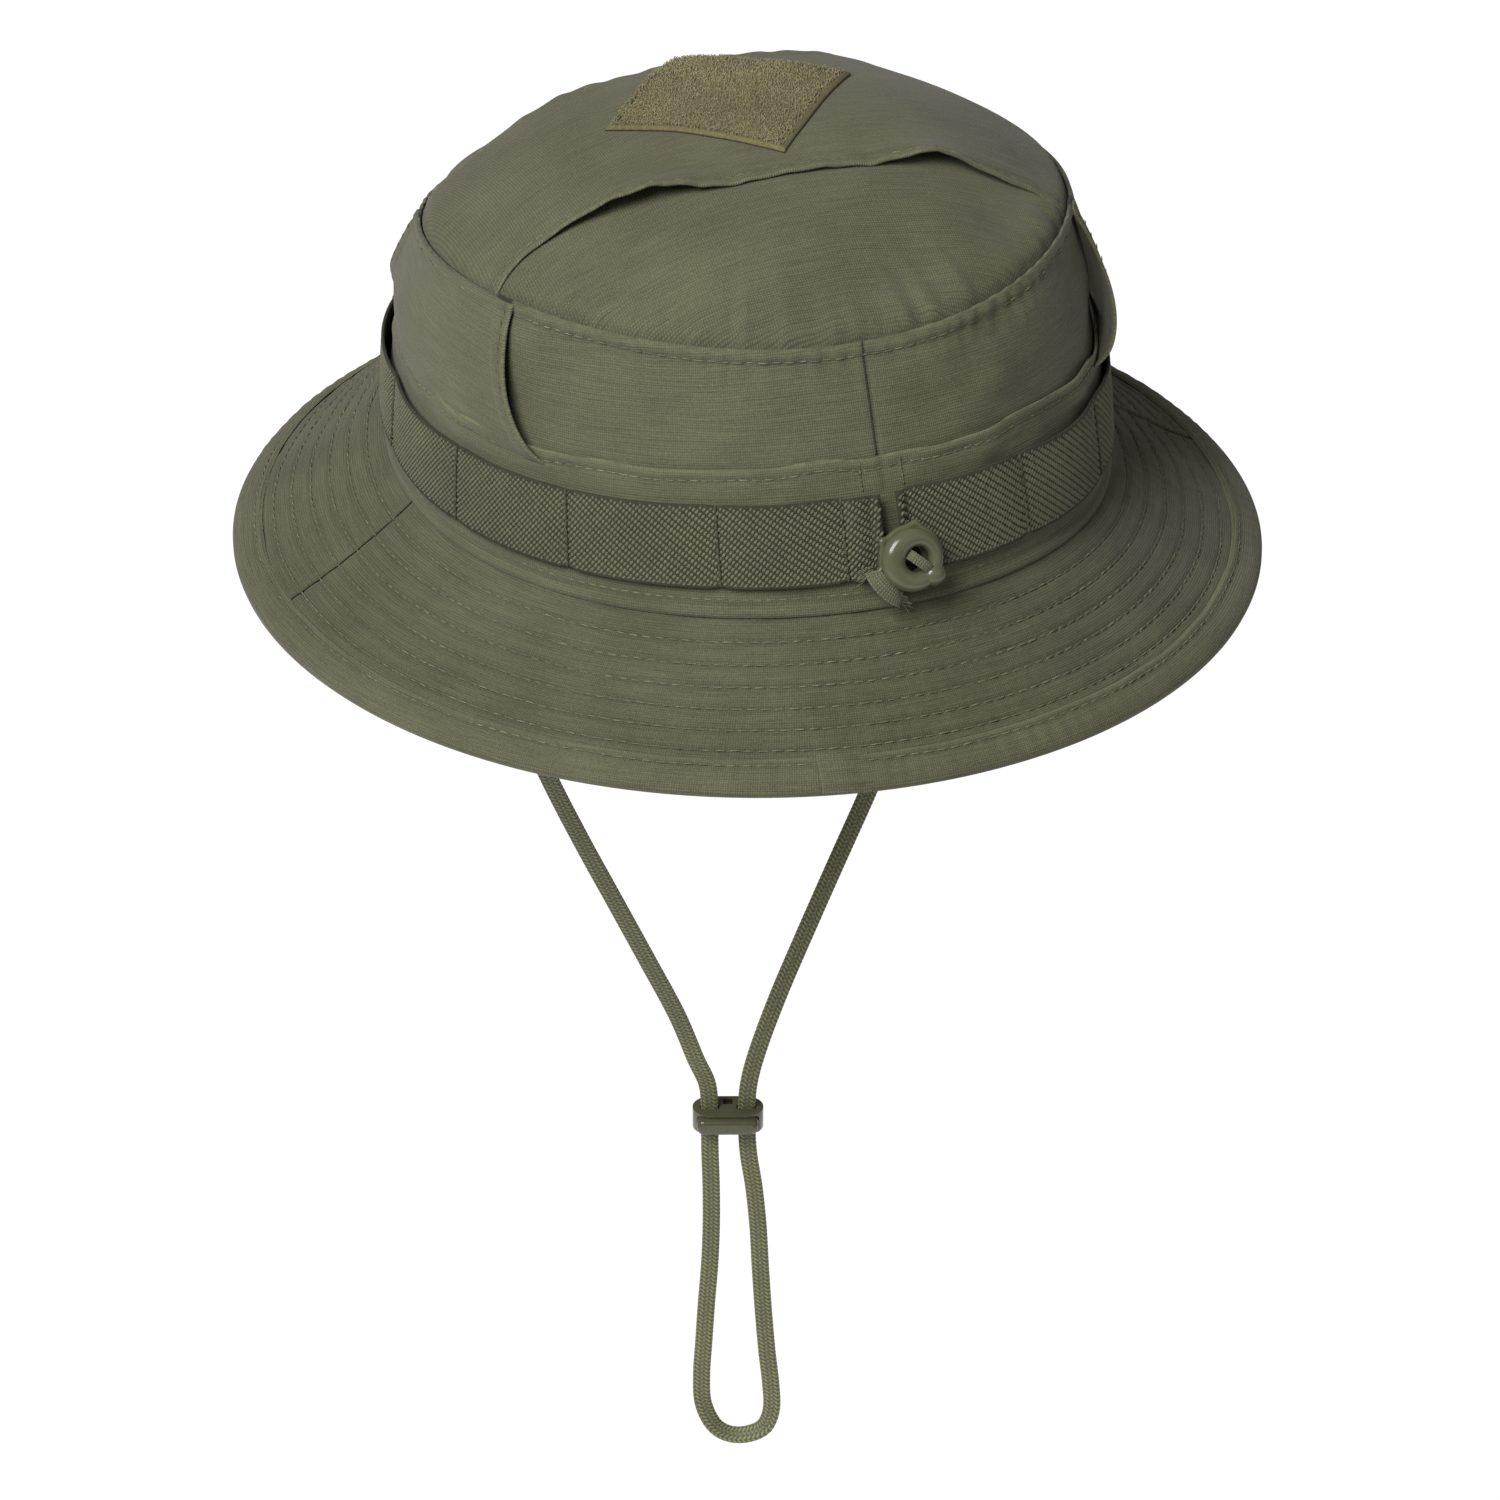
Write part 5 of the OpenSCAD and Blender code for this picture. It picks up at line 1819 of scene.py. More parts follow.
            here = self.webbing_point(a, share_at + 0 * a, 0.55)
            edge.add_points(here, form.outward(a), unit(self.webbing_point(a + 0.2, share_at + 0 * a, 0.55) - here))
        beads = Repeater.run(
            "foliage_webbing_edges", Pattern.ON_POINTS, edge.build("edge_points"), self.finishes.webbing,
            Shape=self.twist("edge_bead", self.rib_pitch * 1.15, 0.5, 0.45), Smallest=0.92, Largest=1.08,
        )
        place(beads, "hat", "elastic_webbing")

    @staticmethod
    def twist(name: str, length: float, wide: float, high: float) -> bpy.types.Object:
        """A low mound of yarn along X.

        Args:
            name: The shape's name.
            length: Its length, in millimetres.
            wide: Half its width.
            high: Its height.

        Returns:
            The hidden shape.
        """
        around = (0, 58, 122, 180)
        stations = ((-0.5, 0.1), (-0.2, 0.95), (0.2, 0.95), (0.5, 0.1))
        slip = 0.22
        points = [
            [x * length, wide * fat * cos(t) + slip * x * wide, high * fat * sin(t) - 0.12]
            for x, fat in stations
            for t in around
        ]
        m = len(around)
        faces = [
            [i * m + j, (i + 1) * m + j, (i + 1) * m + j + 1, i * m + j + 1]
            for i in range(len(stations) - 1)
            for j in range(m - 1)
        ]
        return small_shape(name, np.array(points, float), faces)

    def tack_threads(self) -> None:
        """The rows of dark thread that hold the webbing down, and the two short ones by the gap."""
        guide = Guide()
        share = np.linspace(0.02, 0.98, 30)
        for angle in self.tacks:
            a = angle + 0 * share
            here = self.webbing_point(a, share, 0.98)
            guide.add_row(here, self.form.outward(a))
        made = Repeater.run(
            "webbing_tack_threads", Pattern.ON_PATH, guide.build("tack_rows"), self.finishes.dark_thread,
            Shape=capsule("tack_stitch", 1.9, 0.36, 0.1), Pitch=1.9 * MM, Smallest=0.85, Largest=1.15,
        )
        place(made, "hat", "sewing_thread", "webbing_tacks")
        guide = Guide()
        for angle in (3.6, -3.4):
            rise = np.linspace(27.2, 33.0, 12)
            a = angle + 0 * rise
            guide.add_row(self.form.wall_at(a, rise, self.band_off(a, rise) + 0.12), self.form.outward(a))
        made = Repeater.run(
            "drawcord_exit_tack_threads", Pattern.ON_PATH, guide.build("exit_rows"), self.finishes.thread,
            Shape=capsule("exit_stitch", 1.0, 0.17, 0.1), Pitch=0.9 * MM, Smallest=0.8, Largest=1.25,
        )
        place(made, "hat", "sewing_thread", "drawcord_exit_tacks")

    def sweatband(self) -> None:
        """The soft band inside the crown, its seams, and the blank label on it."""
        a, rise = columns(-180, 180, 420), rows(self.sweatband_w, 0.5, 30)
        along = self.form.round_length(a)
        keep = away_from_front(a)
        top = self.sweatband_w - rise
        soft = Crumple(81, 0.25, 34.0, 10.0, 7).at(along, rise) * keep
        inner = -3.6 + soft * 0.8 + 0.35 * np.exp(-(((top - 2.5) / 0.7) ** 2)) - 0.25 * sin(180 * rise / 30)
        # painted shade in the stitch furrow, and a lighter top fold from painted highlight and fading
        painted_shading_and_fade = -0.15 * np.exp(-(((top - 2.5) / 0.7) ** 2)) + 0.12 * np.exp(-top / 0.9)
        flat = point(along, rise, 0)[..., :2]
        cloth = Cloth(
            self.form.wall_at(a, rise, -2.4 + 0 * along), self.form.wall_at(a, rise, inner), flat, painted_shading_and_fade + 0 * a, joined=True
        )
        sew(cloth, "sweatband", "lining_cloth", self.finishes.lining, "base_band")
        guide = Guide()
        ring = np.linspace(-180, 180, 600, endpoint=False)
        for level in (self.sweatband_w - 2.5, 3.0):
            guide.add_row(self.form.wall_at(ring, level + 0 * ring, -3.45), -self.form.outward(ring), joined=True)
        made = Repeater.run(
            "sweatband_stitches", Pattern.ON_PATH, guide.build("sweatband_rows"), self.finishes.thread,
            Shape=capsule("inner_stitch", 2.6, 0.17, 0.15), Pitch=3.2 * MM, Smallest=0.9, Largest=1.1,
        )
        place(made, "hat", "sewing_thread")
        self.label()

    def label(self) -> None:
        """The blank woven label."""
        a, rise = columns(-8, 8, 40), rows(24, 6, 30)
        curl = 0.25 * ease((rise - 20) / 4) + 0.12 * Crumple(85, 1.0, 20.0, 7.0, 4).at(a * 1.7, rise)
        face = self.form.wall_at(a, rise, -4.05 - curl)
        back = self.form.wall_at(a, rise, -4.35 - curl)
        flat = point(self.form.round_length(a), rise, 0)[..., :2]
        cloth = Cloth(face, back, flat)
        sew(cloth, "size_label", "label_tape", self.finishes.label, "sweatband", "laid")

    def build(self) -> None:
        """Builds the bands."""
        self.cloth_band()
        self.webbing()
        self.tack_threads()
        self.sweatband()


# ---------------------------------------------------------------- brim


@dataclass
class Brim:
    """The brim: two layers of cloth on felt, quilted in rows, with a binding round its edge.

    Attributes:
        form: The hat's form.
        finishes: The finishes.
        first_row: Distance of the first stitch row from the crown.
        row_pitch: Distance between two rows.
        row_count: How many rows.
        binding_w: Width of the binding.
        lap: Angles between which the binding's end laps over its start.
    """

    form: HatForm
    finishes: Finishes
    first_row: float = 7.0
    row_pitch: float = 5.5
    row_count: int = 6
    binding_w: float = 9.0
    lap: tuple[float, float] = (10.4, 13.4)

    def row_shares(self) -> Grid:
        """Where each row is, as a share of the brim's length at the back."""
        back = float(self.form.brim_length(np.array(0.0)))
        return (self.first_row + self.row_pitch * np.arange(self.row_count)) / back

    def face_off(self, a: Grid, s: Grid, seed: int) -> Grid:
        """The quilted face: furrows at the rows, soft puffs between them, broad low waves."""
        long = self.form.brim_length(a)
        along = np.asarray(a) * 2.05
        keep = away_from_front(a)
        off = Crumple(seed, 0.5, 110.0, 24.0, 7).at(along, s * 46) * keep * ease(s * 5)
        off = off + Crumple(seed + 2, 0.12, 14.0, 5.0, 6).at(along, s * 46) * keep
        for k, share in enumerate(self.row_shares()):
            away = (s - share) * long
            off = off + dent(away, 0.36, 0.75) + pucker(along, away, 0.16, 4.6, 1.8, seed + 10 + k) * keep
        side_seam = np.abs(np.abs(a) - 90) * 2.0
        ridge = 0.45 * ease((3.2 - side_seam) / 2.2) * (np.abs(a) > 90) - 0.35 * np.exp(-((side_seam / 0.7) ** 2))
        return off + ridge

    def layer(self, start: float, end: float, top: float, face_up: bool, name: str) -> None:
        """Half of the brim's upper or under cloth.

        Args:
            start: First angle.
            end: Last angle.
            top: How far its upper side is from the brim's upper face.
            face_up: Whether its outer side is the upper one.
            name: The CAD node that it stands for.
        """
        a = columns(start, end, 380 if face_up else 260)
        s = rows(0.985, -0.012, 84 if face_up else 54)
        turned = np.where(a > 180, a - 360, a)
        shape = self.face_off(turned, s, 101 if face_up else 131)
        far = self.binding_share(a)
        shape = shape * ease((far + 0.06 - s) / 0.05) - 0.25 * ease((s - far) / 0.05)
        upper = top + (shape if face_up else 0.0 * shape)
        lower = top - self.form.cloth_t - (0.0 * shape if face_up else shape + 0.35)
        # painted shade: the whole brim a little darker as the crown shades it, darker still in the stitch furrows and
        # next to the crown seam
        row_furrow_shade = sum(np.exp(-(((s - r) * 46 / 0.8) ** 2)) for r in self.row_shares())
        painted_shading_and_fade = -0.12 - 0.13 * row_furrow_shade - 0.2 * np.exp(-((s * 46 / 1.6) ** 2)) + 0 * a
        flat = point(a * 2.05, s * 46, 0)[..., :2]
        cloth = Cloth(self.form.brim(a, s, upper), self.form.brim(a, s, lower), flat, painted_shading_and_fade)
        sew(cloth, name, "ripstop_cloth", self.finishes.cloth, "brim_interlining")

    def binding_share(self, a: Grid) -> Grid:
        """Where the binding's inner edge is."""
        return 1 - self.binding_w / self.form.brim_length(a)

    def felt(self) -> None:
        """The stiff felt between the two layers."""
        a, s = columns(-180, 180, 300), rows(0.97, 0.02, 26)
        fuzz = 0.04 * away_from_front(a) * Crumple(141, 1.0, 12.0, 4.0, 6).at(a * 2, s * 46)
        flat = point(a * 2.05, s * 46, 0)[..., :2]
        cloth = Cloth(self.form.brim(a, s, -0.98 + fuzz), self.form.brim(a, s, -1.88 - fuzz), flat, joined=True)
        sew(cloth, "brim_interlining", "interlining", self.finishes.felt, "brim_under_rear", "laid")

    def binding_wave(self, a: Grid) -> Grid:
        """How far the binding's inner edge wanders."""
        return Crumple(151, 0.35, 60.0, 14.0, 6).at(np.asarray(a) * 2.2) * away_from_front(a)

    def bind_profile(self, a: Grid) -> tuple[Grid, Grid]:
        """Distances in from the edge and heights off the brim round the folded tape."""
        w = self.binding_w
        top_in = np.array([w, w - 0.4, w - 1.2, w - 2.0, w - 3.5, w - 5.5, 2.4, 1.0])
        top_up = np.array([0.3, 1.05, 1.15, 0.75, 1.1, 1.2, 1.1, 0.85])
        fold_in = np.array([-0.15, -0.75, -0.95, -0.75, -0.15])
        fold_up = np.array([0.35, -0.55, -1.45, -2.35, -3.25])
        low_in, low_up = top_in[::-1], -2.9 - top_up[::-1]
        inner_in = np.array([w, 0.6, 0.6, w])
        inner_up = np.array([-3.05, -3.0, 0.1, 0.15])
        return (
            np.concatenate([top_in, fold_in, low_in, inner_in]),
            np.concatenate([top_up, fold_up, low_up, inner_up]),
        )

    def binding(self) -> None:
        """The folded tape round the edge, and the lapped join."""
        a = np.linspace(-180, 180, 820, endpoint=False)[:, None]
        inward, up = (v[None, :] for v in self.bind_profile(a))
        long = self.form.brim_length(a)
        ripple = pucker(a * 2.3, 0 * a, 0.16, 5.2, 1.0, 153) + Crumple(155, 0.16, 40.0, 9.0, 6).at(a * 2.3)
        wave = self.binding_wave(a) * (inward > 5)
        puff = ripple * away_from_front(a) * np.sin(np.clip(inward, 0, 9) / 9 * np.pi) ** 0.5
        s = 1 - (inward + wave) / long
        rings = self.form.brim(a, s, up + np.where(up > -1.4, puff, -puff))
        k = rings.shape[1]
        around = np.concatenate([inward[0], inward[0, :1]])
        ring_a = np.linspace(-180, 180, 821)[:, None]
        uv = point(ring_a * 2.35, around[None, :] + 0 * ring_a, 0)[..., :2]
        # lighter inner lip from painted highlight and fading; painted shade in the stitch furrow
        painted_shading_and_fade = np.where(np.abs(inward - 8.6) < 0.5, 0.14, 0.0) - 0.2 * (np.abs(inward - 7.0) < 0.4)
        piece = Loft(rings, uv, Ends.JOINED, painted_shading_and_fade + np.zeros((len(a), k))).build(
            "brim_binding_tape", self.finishes.cloth
        )
        place(piece, "hat", "ripstop_cloth", "brim_binding")
        self.lapped_end()

    def lapped_end(self) -> None:
        """The folded end of the tape over its start."""
        a, inward = columns(self.lap[0] - 2.5, self.lap[1], 40), rows(-0.9, self.binding_w, 26)
        long = self.form.brim_length(a)
        share = (a - self.lap[0] + 2.5) / (self.lap[1] - self.lap[0] + 2.5)
        lean = 0.5 * inward / self.binding_w
        place_a = a + lean * (share > 0.5) * ease((share - 0.5) * 3)
        s = 1 - (inward + self.binding_wave(a)) / long
        fall = 1.35 * ease((1.0 - inward) / 1.8)
        off = 0.9 + 1.2 * ease(share / 0.6) - fall - 0.35 * dent(inward - 7.0, -1.0, 0.5)
        flat = point(a * 2.35, inward, 0)[..., :2]
        # lighter folded end of the tape from painted highlight and fading
        painted_shading_and_fade = 0.15 * ease((share - 0.93) / 0.07)
        cloth = Cloth(self.form.brim(place_a, s, off), self.form.brim(place_a, s, off - 0.55), flat, painted_shading_and_fade + 0 * s)
        piece = cloth.build("binding_join_lap", self.finishes.cloth)
        place(piece, "hat", "ripstop_cloth", "binding_join")

    def stitches(self) -> None:
        """The quilting rows on both faces and the binding's own row."""
        ring = np.linspace(-180, 180, 900, endpoint=False)
        shape = capsule("brim_stitch", 2.7, 0.19, 0.14)
        for face_up, name in ((True, "brim_top_stitches"), (False, "brim_under_stitches")):
            guide = Guide()
            for share in self.row_shares():
                s = share + 0 * ring
                off = self.face_off(ring, s, 101 if face_up else 131) + 0.12
                height = off if face_up else -2.0 - self.form.cloth_t - 0.35 - off
                here = self.form.brim(ring, s, height)
                out = unit(self.form.brim(ring, s, height + 0.1) - here) * (1 if face_up else -1)
                guide.add_row(here, out, joined=True)
            s = 1 - (7.0 + self.binding_wave(ring)) / self.form.brim_length(ring)
            height = 0.8 if face_up else -3.75
            here = self.form.brim(ring, s, height)
            out = unit(self.form.brim(ring, s, height + 0.1) - here) * (1 if face_up else -1)
            guide.add_row(here, out, joined=True)
            made = Repeater.run(
                name, Pattern.ON_PATH, guide.build("brim_rows"), self.finishes.thread,
                Shape=shape, Pitch=3.5 * MM, Smallest=0.85, Largest=1.08,
            )
            place(made, "hat", "sewing_thread")

    def build(self) -> None:
        """Builds the brim."""
        gap = 0.06
        under = -2.0
        self.layer(-90 + gap, 90 - gap, 0.0, True, "brim_top_rear")
        self.layer(90 + gap, 270 - gap, 0.0, True, "brim_top_front")
        self.layer(-90 + gap, 90 - gap, under, False, "brim_under_rear")
        self.layer(90 + gap, 270 - gap, under, False, "brim_under_front")
        self.felt()
        self.binding()
        self.stitches()


# ---------------------------------------------------------------- drawcord


@dataclass
class Drawcord:
    """The flat elastic round the crown, its end outside, and the ring that it is pulled through.

    Attributes:
        form: The hat's form.
        finishes: The finishes.
        rise: Height of the elastic over the brim seam.
        ring_r: Outer radius of the adjuster's ring.
        hole_r: Radius of its hole.
        hole_at: How far the hole is off the ring's middle.
    """

    form: HatForm
    finishes: Finishes
    rise: float = 13.5
    ring_r: float = 7.9
    hole_r: float = 3.1
    hole_at: float = -1.2

    def __post_init__(self) -> None:
        """Works out the adjuster's place and directions from its joint and its CAD node."""
        axis = next(j["axis"] for j in frame["joints"] if j["name"] == "drawcord_slide")
        self.out = unit(np.array(axis, float))
        self.right = np.array([1.0, 0.0, 0.0])
        self.up = np.cross(self.right, self.out)
        low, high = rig.box("adjuster_ring")
        self.middle = (np.array(low) + np.array(high)) / 2 / MM
        self.slot = self.form.wall_at(np.array(0.0), np.array(self.rise))

    def local(self, x: Grid, out: Grid, z: Grid) -> Grid:
        """Points from the adjuster's own right, out and up, in millimetres."""
        x, out, z = (np.asarray(v, float)[..., None] for v in (x, out, z))
        return self.middle + self.right * x + self.out * out + self.up * z

    def ring(self) -> None:
        """The round ring: fat on one side of its hole, glossy, with a rounded inner lip and a lobe."""
        turn = np.linspace(0, 360, 120, endpoint=False)[:, None]
        k = np.linspace(0, 360, 36, endpoint=False)[None, :]
        shift = self.hole_at * cos(turn)
        inner = shift + np.sqrt(self.hole_r**2 - self.hole_at**2 + shift**2)
        half = (self.ring_r - inner) / 2
        high = 2.1 + 0.6 * ease((half - 1.7) / 1.2)
        reach = inner + half + half * np.sign(cos(k)) * np.abs(cos(k)) ** 0.9
        rings = self.local(reach * cos(turn), high * sin(k), reach * sin(turn))
        piece = Loft(rings, np.zeros((121, 37, 2)), Ends.JOINED).build("adjuster_ring_moulding", self.finishes.gloss)
        place(piece, "adjuster", "adjuster_plastic", "adjuster_ring")
        along = np.linspace(2, 178, 26)[:, None]
        around = np.linspace(0, 360, 32, endpoint=False)[None, :]
        lobe = self.local(-4.9 + 3.1 * cos(along) + 0 * around, 0.4 + 2.7 * sin(along) * sin(around), -4.4 + 2.8 * sin(along) * cos(around))
        piece = Loft(lobe, np.zeros((26, 33, 2)), Ends.FLAT).build("adjuster_lobe", self.finishes.gloss)
        place(piece, "adjuster", "adjuster_plastic")

    def plate(self) -> None:
        """The plate behind the ring: a raised rim, a corner, a small lug and a horn."""
        turn = np.linspace(0, 360, 180, endpoint=False)

        def bump(at: float, wide: float, high: float) -> Grid:
            return high * np.exp(-((((turn - at + 180) % 360 - 180) / wide) ** 2))

        outer = 8.3 + 0.7 * cos(turn) + bump(72, 9, 1.1) + bump(140, 8, 1.2) + bump(200, 7, 3.6)
        back, front, inner = -3.9, -2.1, 3.4
        profile = [
            (inner + 0.3, back), (inner, back + 0.4), (inner, front - 0.6), (inner + 0.3, front - 0.3),
            (-2.2, front - 0.3), (-1.2, front), (-0.4, front), (0.0, front - 0.4), (0.0, back + 0.4), (-0.4, back),
        ]
        reach = np.stack([outer + r if r <= 0 else r + 0 * turn for r, _ in profile], axis=1)
        out = np.stack([level + 0 * turn for _, level in profile], axis=1)
        rings = self.local(-reach * cos(turn)[:, None], out, reach * sin(turn)[:, None])
        piece = Loft(rings, np.zeros((181, 11, 2)), Ends.JOINED).build("adjuster_plate_moulding", self.finishes.gloss)
        place(piece, "adjuster", "adjuster_plastic", "adjuster_plate")

    def ribbon(self, points: Grid, face: Grid, wide: float, thick: float, name: str) -> bpy.types.Object:
        """A flat elastic along points, ribbed lengthwise.

        Args:
            points: Its middle line, in millimetres.
            face: Outward direction of its face at each point.
            wide: Its width.
            thick: Its thickness.
            name: The piece's name.

        Returns:
            The new piece.
        """
        smooth = catmull(points, 8)
        faces = unit(catmull(face, 8))
        way = unit(np.gradient(smooth, axis=0))
        side = unit(np.cross(way, faces))
        outline = []
        ribs = 8
        for k in range(2 * ribs + 1):
            x = -0.5 + k / (2 * ribs)
            outline.append((x * wide, thick / 2 * (1.0 if k % 2 else 0.72)))
        outline += [(-x, -y) for x, y in outline]
        rings = np.stack([smooth + side * x + faces * y for x, y in outline], axis=1)
        length = np.concatenate([[0], np.cumsum(np.linalg.norm(np.diff(smooth, axis=0), axis=-1))])
        across = np.array([x for x, _ in outline] + [outline[0][0]])
        uv = point(length[:, None], across[None, :], 0)[..., :2]
        return Loft(rings, uv, Ends.FLAT).build(name, self.finishes.elastic)

    def tail(self) -> None:
        """The elastic outside: from the slot to the ring, across its hole, and back behind it."""
        start = self.slot - self.middle
        sx, so, sz = (float(start @ d) for d in (self.right, self.out, self.up))
        way = [
            (sx + 1.6, so + 0.6, sz + 0.6), (sx + 1.9, so + 2.2, sz + 0.4), (2.0, -3.2, 2.6), (1.5, -1.4, 2.2),
            (1.2, 0.7, 1.9), (0.6, 2.0, 1.3), (-0.8, 2.6, 0.0), (-2.4, 2.5, -1.5), (-3.7, 1.6, -2.7),
            (-3.9, -0.6, -3.0), (-3.3, -3.0, -2.6), (sx - 2.0, so + 2.2, sz - 1.2), (sx - 1.6, so + 0.6, sz - 0.8),
        ]
        points = self.local(*(np.array([p[k] for p in way]) for k in range(3)))
        faces = []
        for x, out, z in way:
            side_push = 1.0 if x - z < 2 and out > -3 and x > -0.5 else -1.0
            push = 3.0 * max(out, 0.15)
            faces.append(self.out * push + (self.right + self.up) * side_push * 0.7)
        piece = self.ribbon(points, unit(np.array(faces)), 2.5, 1.0, "drawcord_tail_elastic")
        place(piece, "drawcord_pull", "flat_elastic", "drawcord_tail")

    def loose_end(self) -> None:
        """The elastic's cut end, round the horn and frayed."""
        way = [(9.4, -2.8, -1.6), (9.2, -1.6, -3.2), (8.2, -0.9, -5.2), (6.6, -0.8, -7.2), (4.8, -1.3, -8.8), (3.2, -2.4, -9.8)]
        points = self.local(*(np.array([p[k] for p in way]) for k in range(3)))
        faces = np.array([self.out + self.up * 0.2 for _ in way])
        piece = self.ribbon(points, unit(faces), 4.2, 0.9, "drawcord_loose_end")
        place(piece, "hat", "flat_elastic")
        guide = Guide()
        draw = np.random.default_rng(19)
        for end, way_on, count in ((points[0], 1.0, 22), (points[-1], -0.6, 10)):
            for k in range(count):
                across = (k / (count - 1) - 0.5) * 3.4
                start = end + self.up * across * 0.8 + self.out * draw.uniform(-0.4, 0.4)
                reach = draw.uniform(2.0, 4.6) * way_on
                drift = self.right * reach + self.up * draw.uniform(-1.6, 0.2) + self.out * draw.uniform(-0.6, 0.3)
                line = [start + drift * t - self.up * 0.8 * t * t for t in np.linspace(0, 1, 5)]
                guide.add_row(np.stack(line), np.zeros((5, 3)))
        fray = Repeater.run(
            "drawcord_frayed_yarn", Pattern.THREADS, guide.build("fray_lines"), self.finishes.thread, Radius=0.09 * MM
        )
        place(fray, "hat", "flat_elastic")

    def inner_ring(self) -> None:
        """The elastic that runs round inside the crown, and its ends through the slot."""
        a = np.linspace(1.2, 358.8, 300)
        points = self.form.wall_at(a, self.rise + 0 * a, -1.75)
        side = np.array([0.0, 0.0, 1.0])
        wide, thick = 4.6, 0.9
        faces = self.form.outward(a)
        outline = [(-0.5, -0.3), (-0.5, 0.3), (-0.3, 0.5), (0.3, 0.5), (0.5, 0.3), (0.5, -0.3), (0.3, -0.5), (-0.3, -0.5)]
        rings = np.stack([points + side * x * wide + faces * y * thick for x, y in outline], axis=1)
        across = np.array([x * wide for x, _ in outline] + [outline[0][0] * wide])
        uv = point(self.form.round_length(a)[:, None], across[None, :], 0)[..., :2]
        piece = Loft(rings, uv, Ends.FLAT).build("drawcord_ring_elastic", self.finishes.elastic)
        place(piece, "hat", "flat_elastic", "drawcord_ring")

    def build(self) -> None:
        """Builds the drawcord and its adjuster."""
        self.ring()
        self.plate()
        self.tail()
        self.loose_end()
        self.inner_ring()


def catmull(points: Grid, per_span: int) -> Grid:
    """A smooth curve through points.

    Args:
        points: The points, three numbers each.
        per_span: How many steps between two of them.

    Returns:
        The curve's points.
    """
    padded = np.concatenate([2 * points[:1] - points[1:2], points, 2 * points[-1:] - points[-2:-1]])
    t = np.linspace(0, 1, per_span, endpoint=False)[:, None]
    parts = []
    for a, b, c, d in zip(padded[:-3], padded[1:-2], padded[2:-1], padded[3:]):
        parts.append(
            0.5 * (2 * b + (c - a) * t + (2 * a - 5 * b + 4 * c - d) * t**2 + (3 * b - a - 3 * c + d) * t**3)
        )
    return np.concatenate([*parts, points[-1:]])


# ---------------------------------------------------------------- chin cord

LEFT_LEG = [
    (81.2, -14, -19), (80.4, -14, -24), (78, -14, -31), (72.5, -14, -45), (65, -14, -64),
    (56.5, -14, -85), (48.5, -14, -106), (40, -14, -126), (31, -14, -146), (22, -14.3, -166),
    (14, -14.7, -184), (8.6, -15.2, -199), (5.2, -15.5, -208), (4.5, -15.6, -217.5),
]
LOOP = [
    (4.5, -15.6, -218), (4.5, -15.6, -228), (4.2, -15.5, -240), (4.2, -15.5, -252),
    (4.6, -15.7, -264), (5.4, -16, -276), (6.1, -16.2, -288), (6.7, -16.4, -299),
    (6.3, -16.3, -308), (3.6, -15.3, -315), (-0.4, -13.9, -318), (-5, -12.2, -318),
    (-9, -10.7, -315.5), (-10.8, -10.1, -310), (-10.6, -10.1, -302), (-9.6, -10.5, -291),
    (-8.7, -10.8, -278), (-8, -11.1, -265), (-7.4, -11.3, -252), (-6.4, -11.7, -240),
    (-5, -12.2, -229), (-4.5, -12.4, -218),
]
RIGHT_LEG = [
    (-4.5, -12.4, -217.5), (-5.3, -12.5, -208), (-8.2, -13, -198), (-14, -13.4, -183),
    (-21.5, -13.8, -166), (-30, -14, -147), (-38.5, -14, -128), (-46, -14, -110),
    (-54, -14, -89), (-62, -14, -69), (-70.5, -14, -48), (-77.5, -14, -31),
    (-80.4, -14, -24), (-81.2, -14, -19),
]


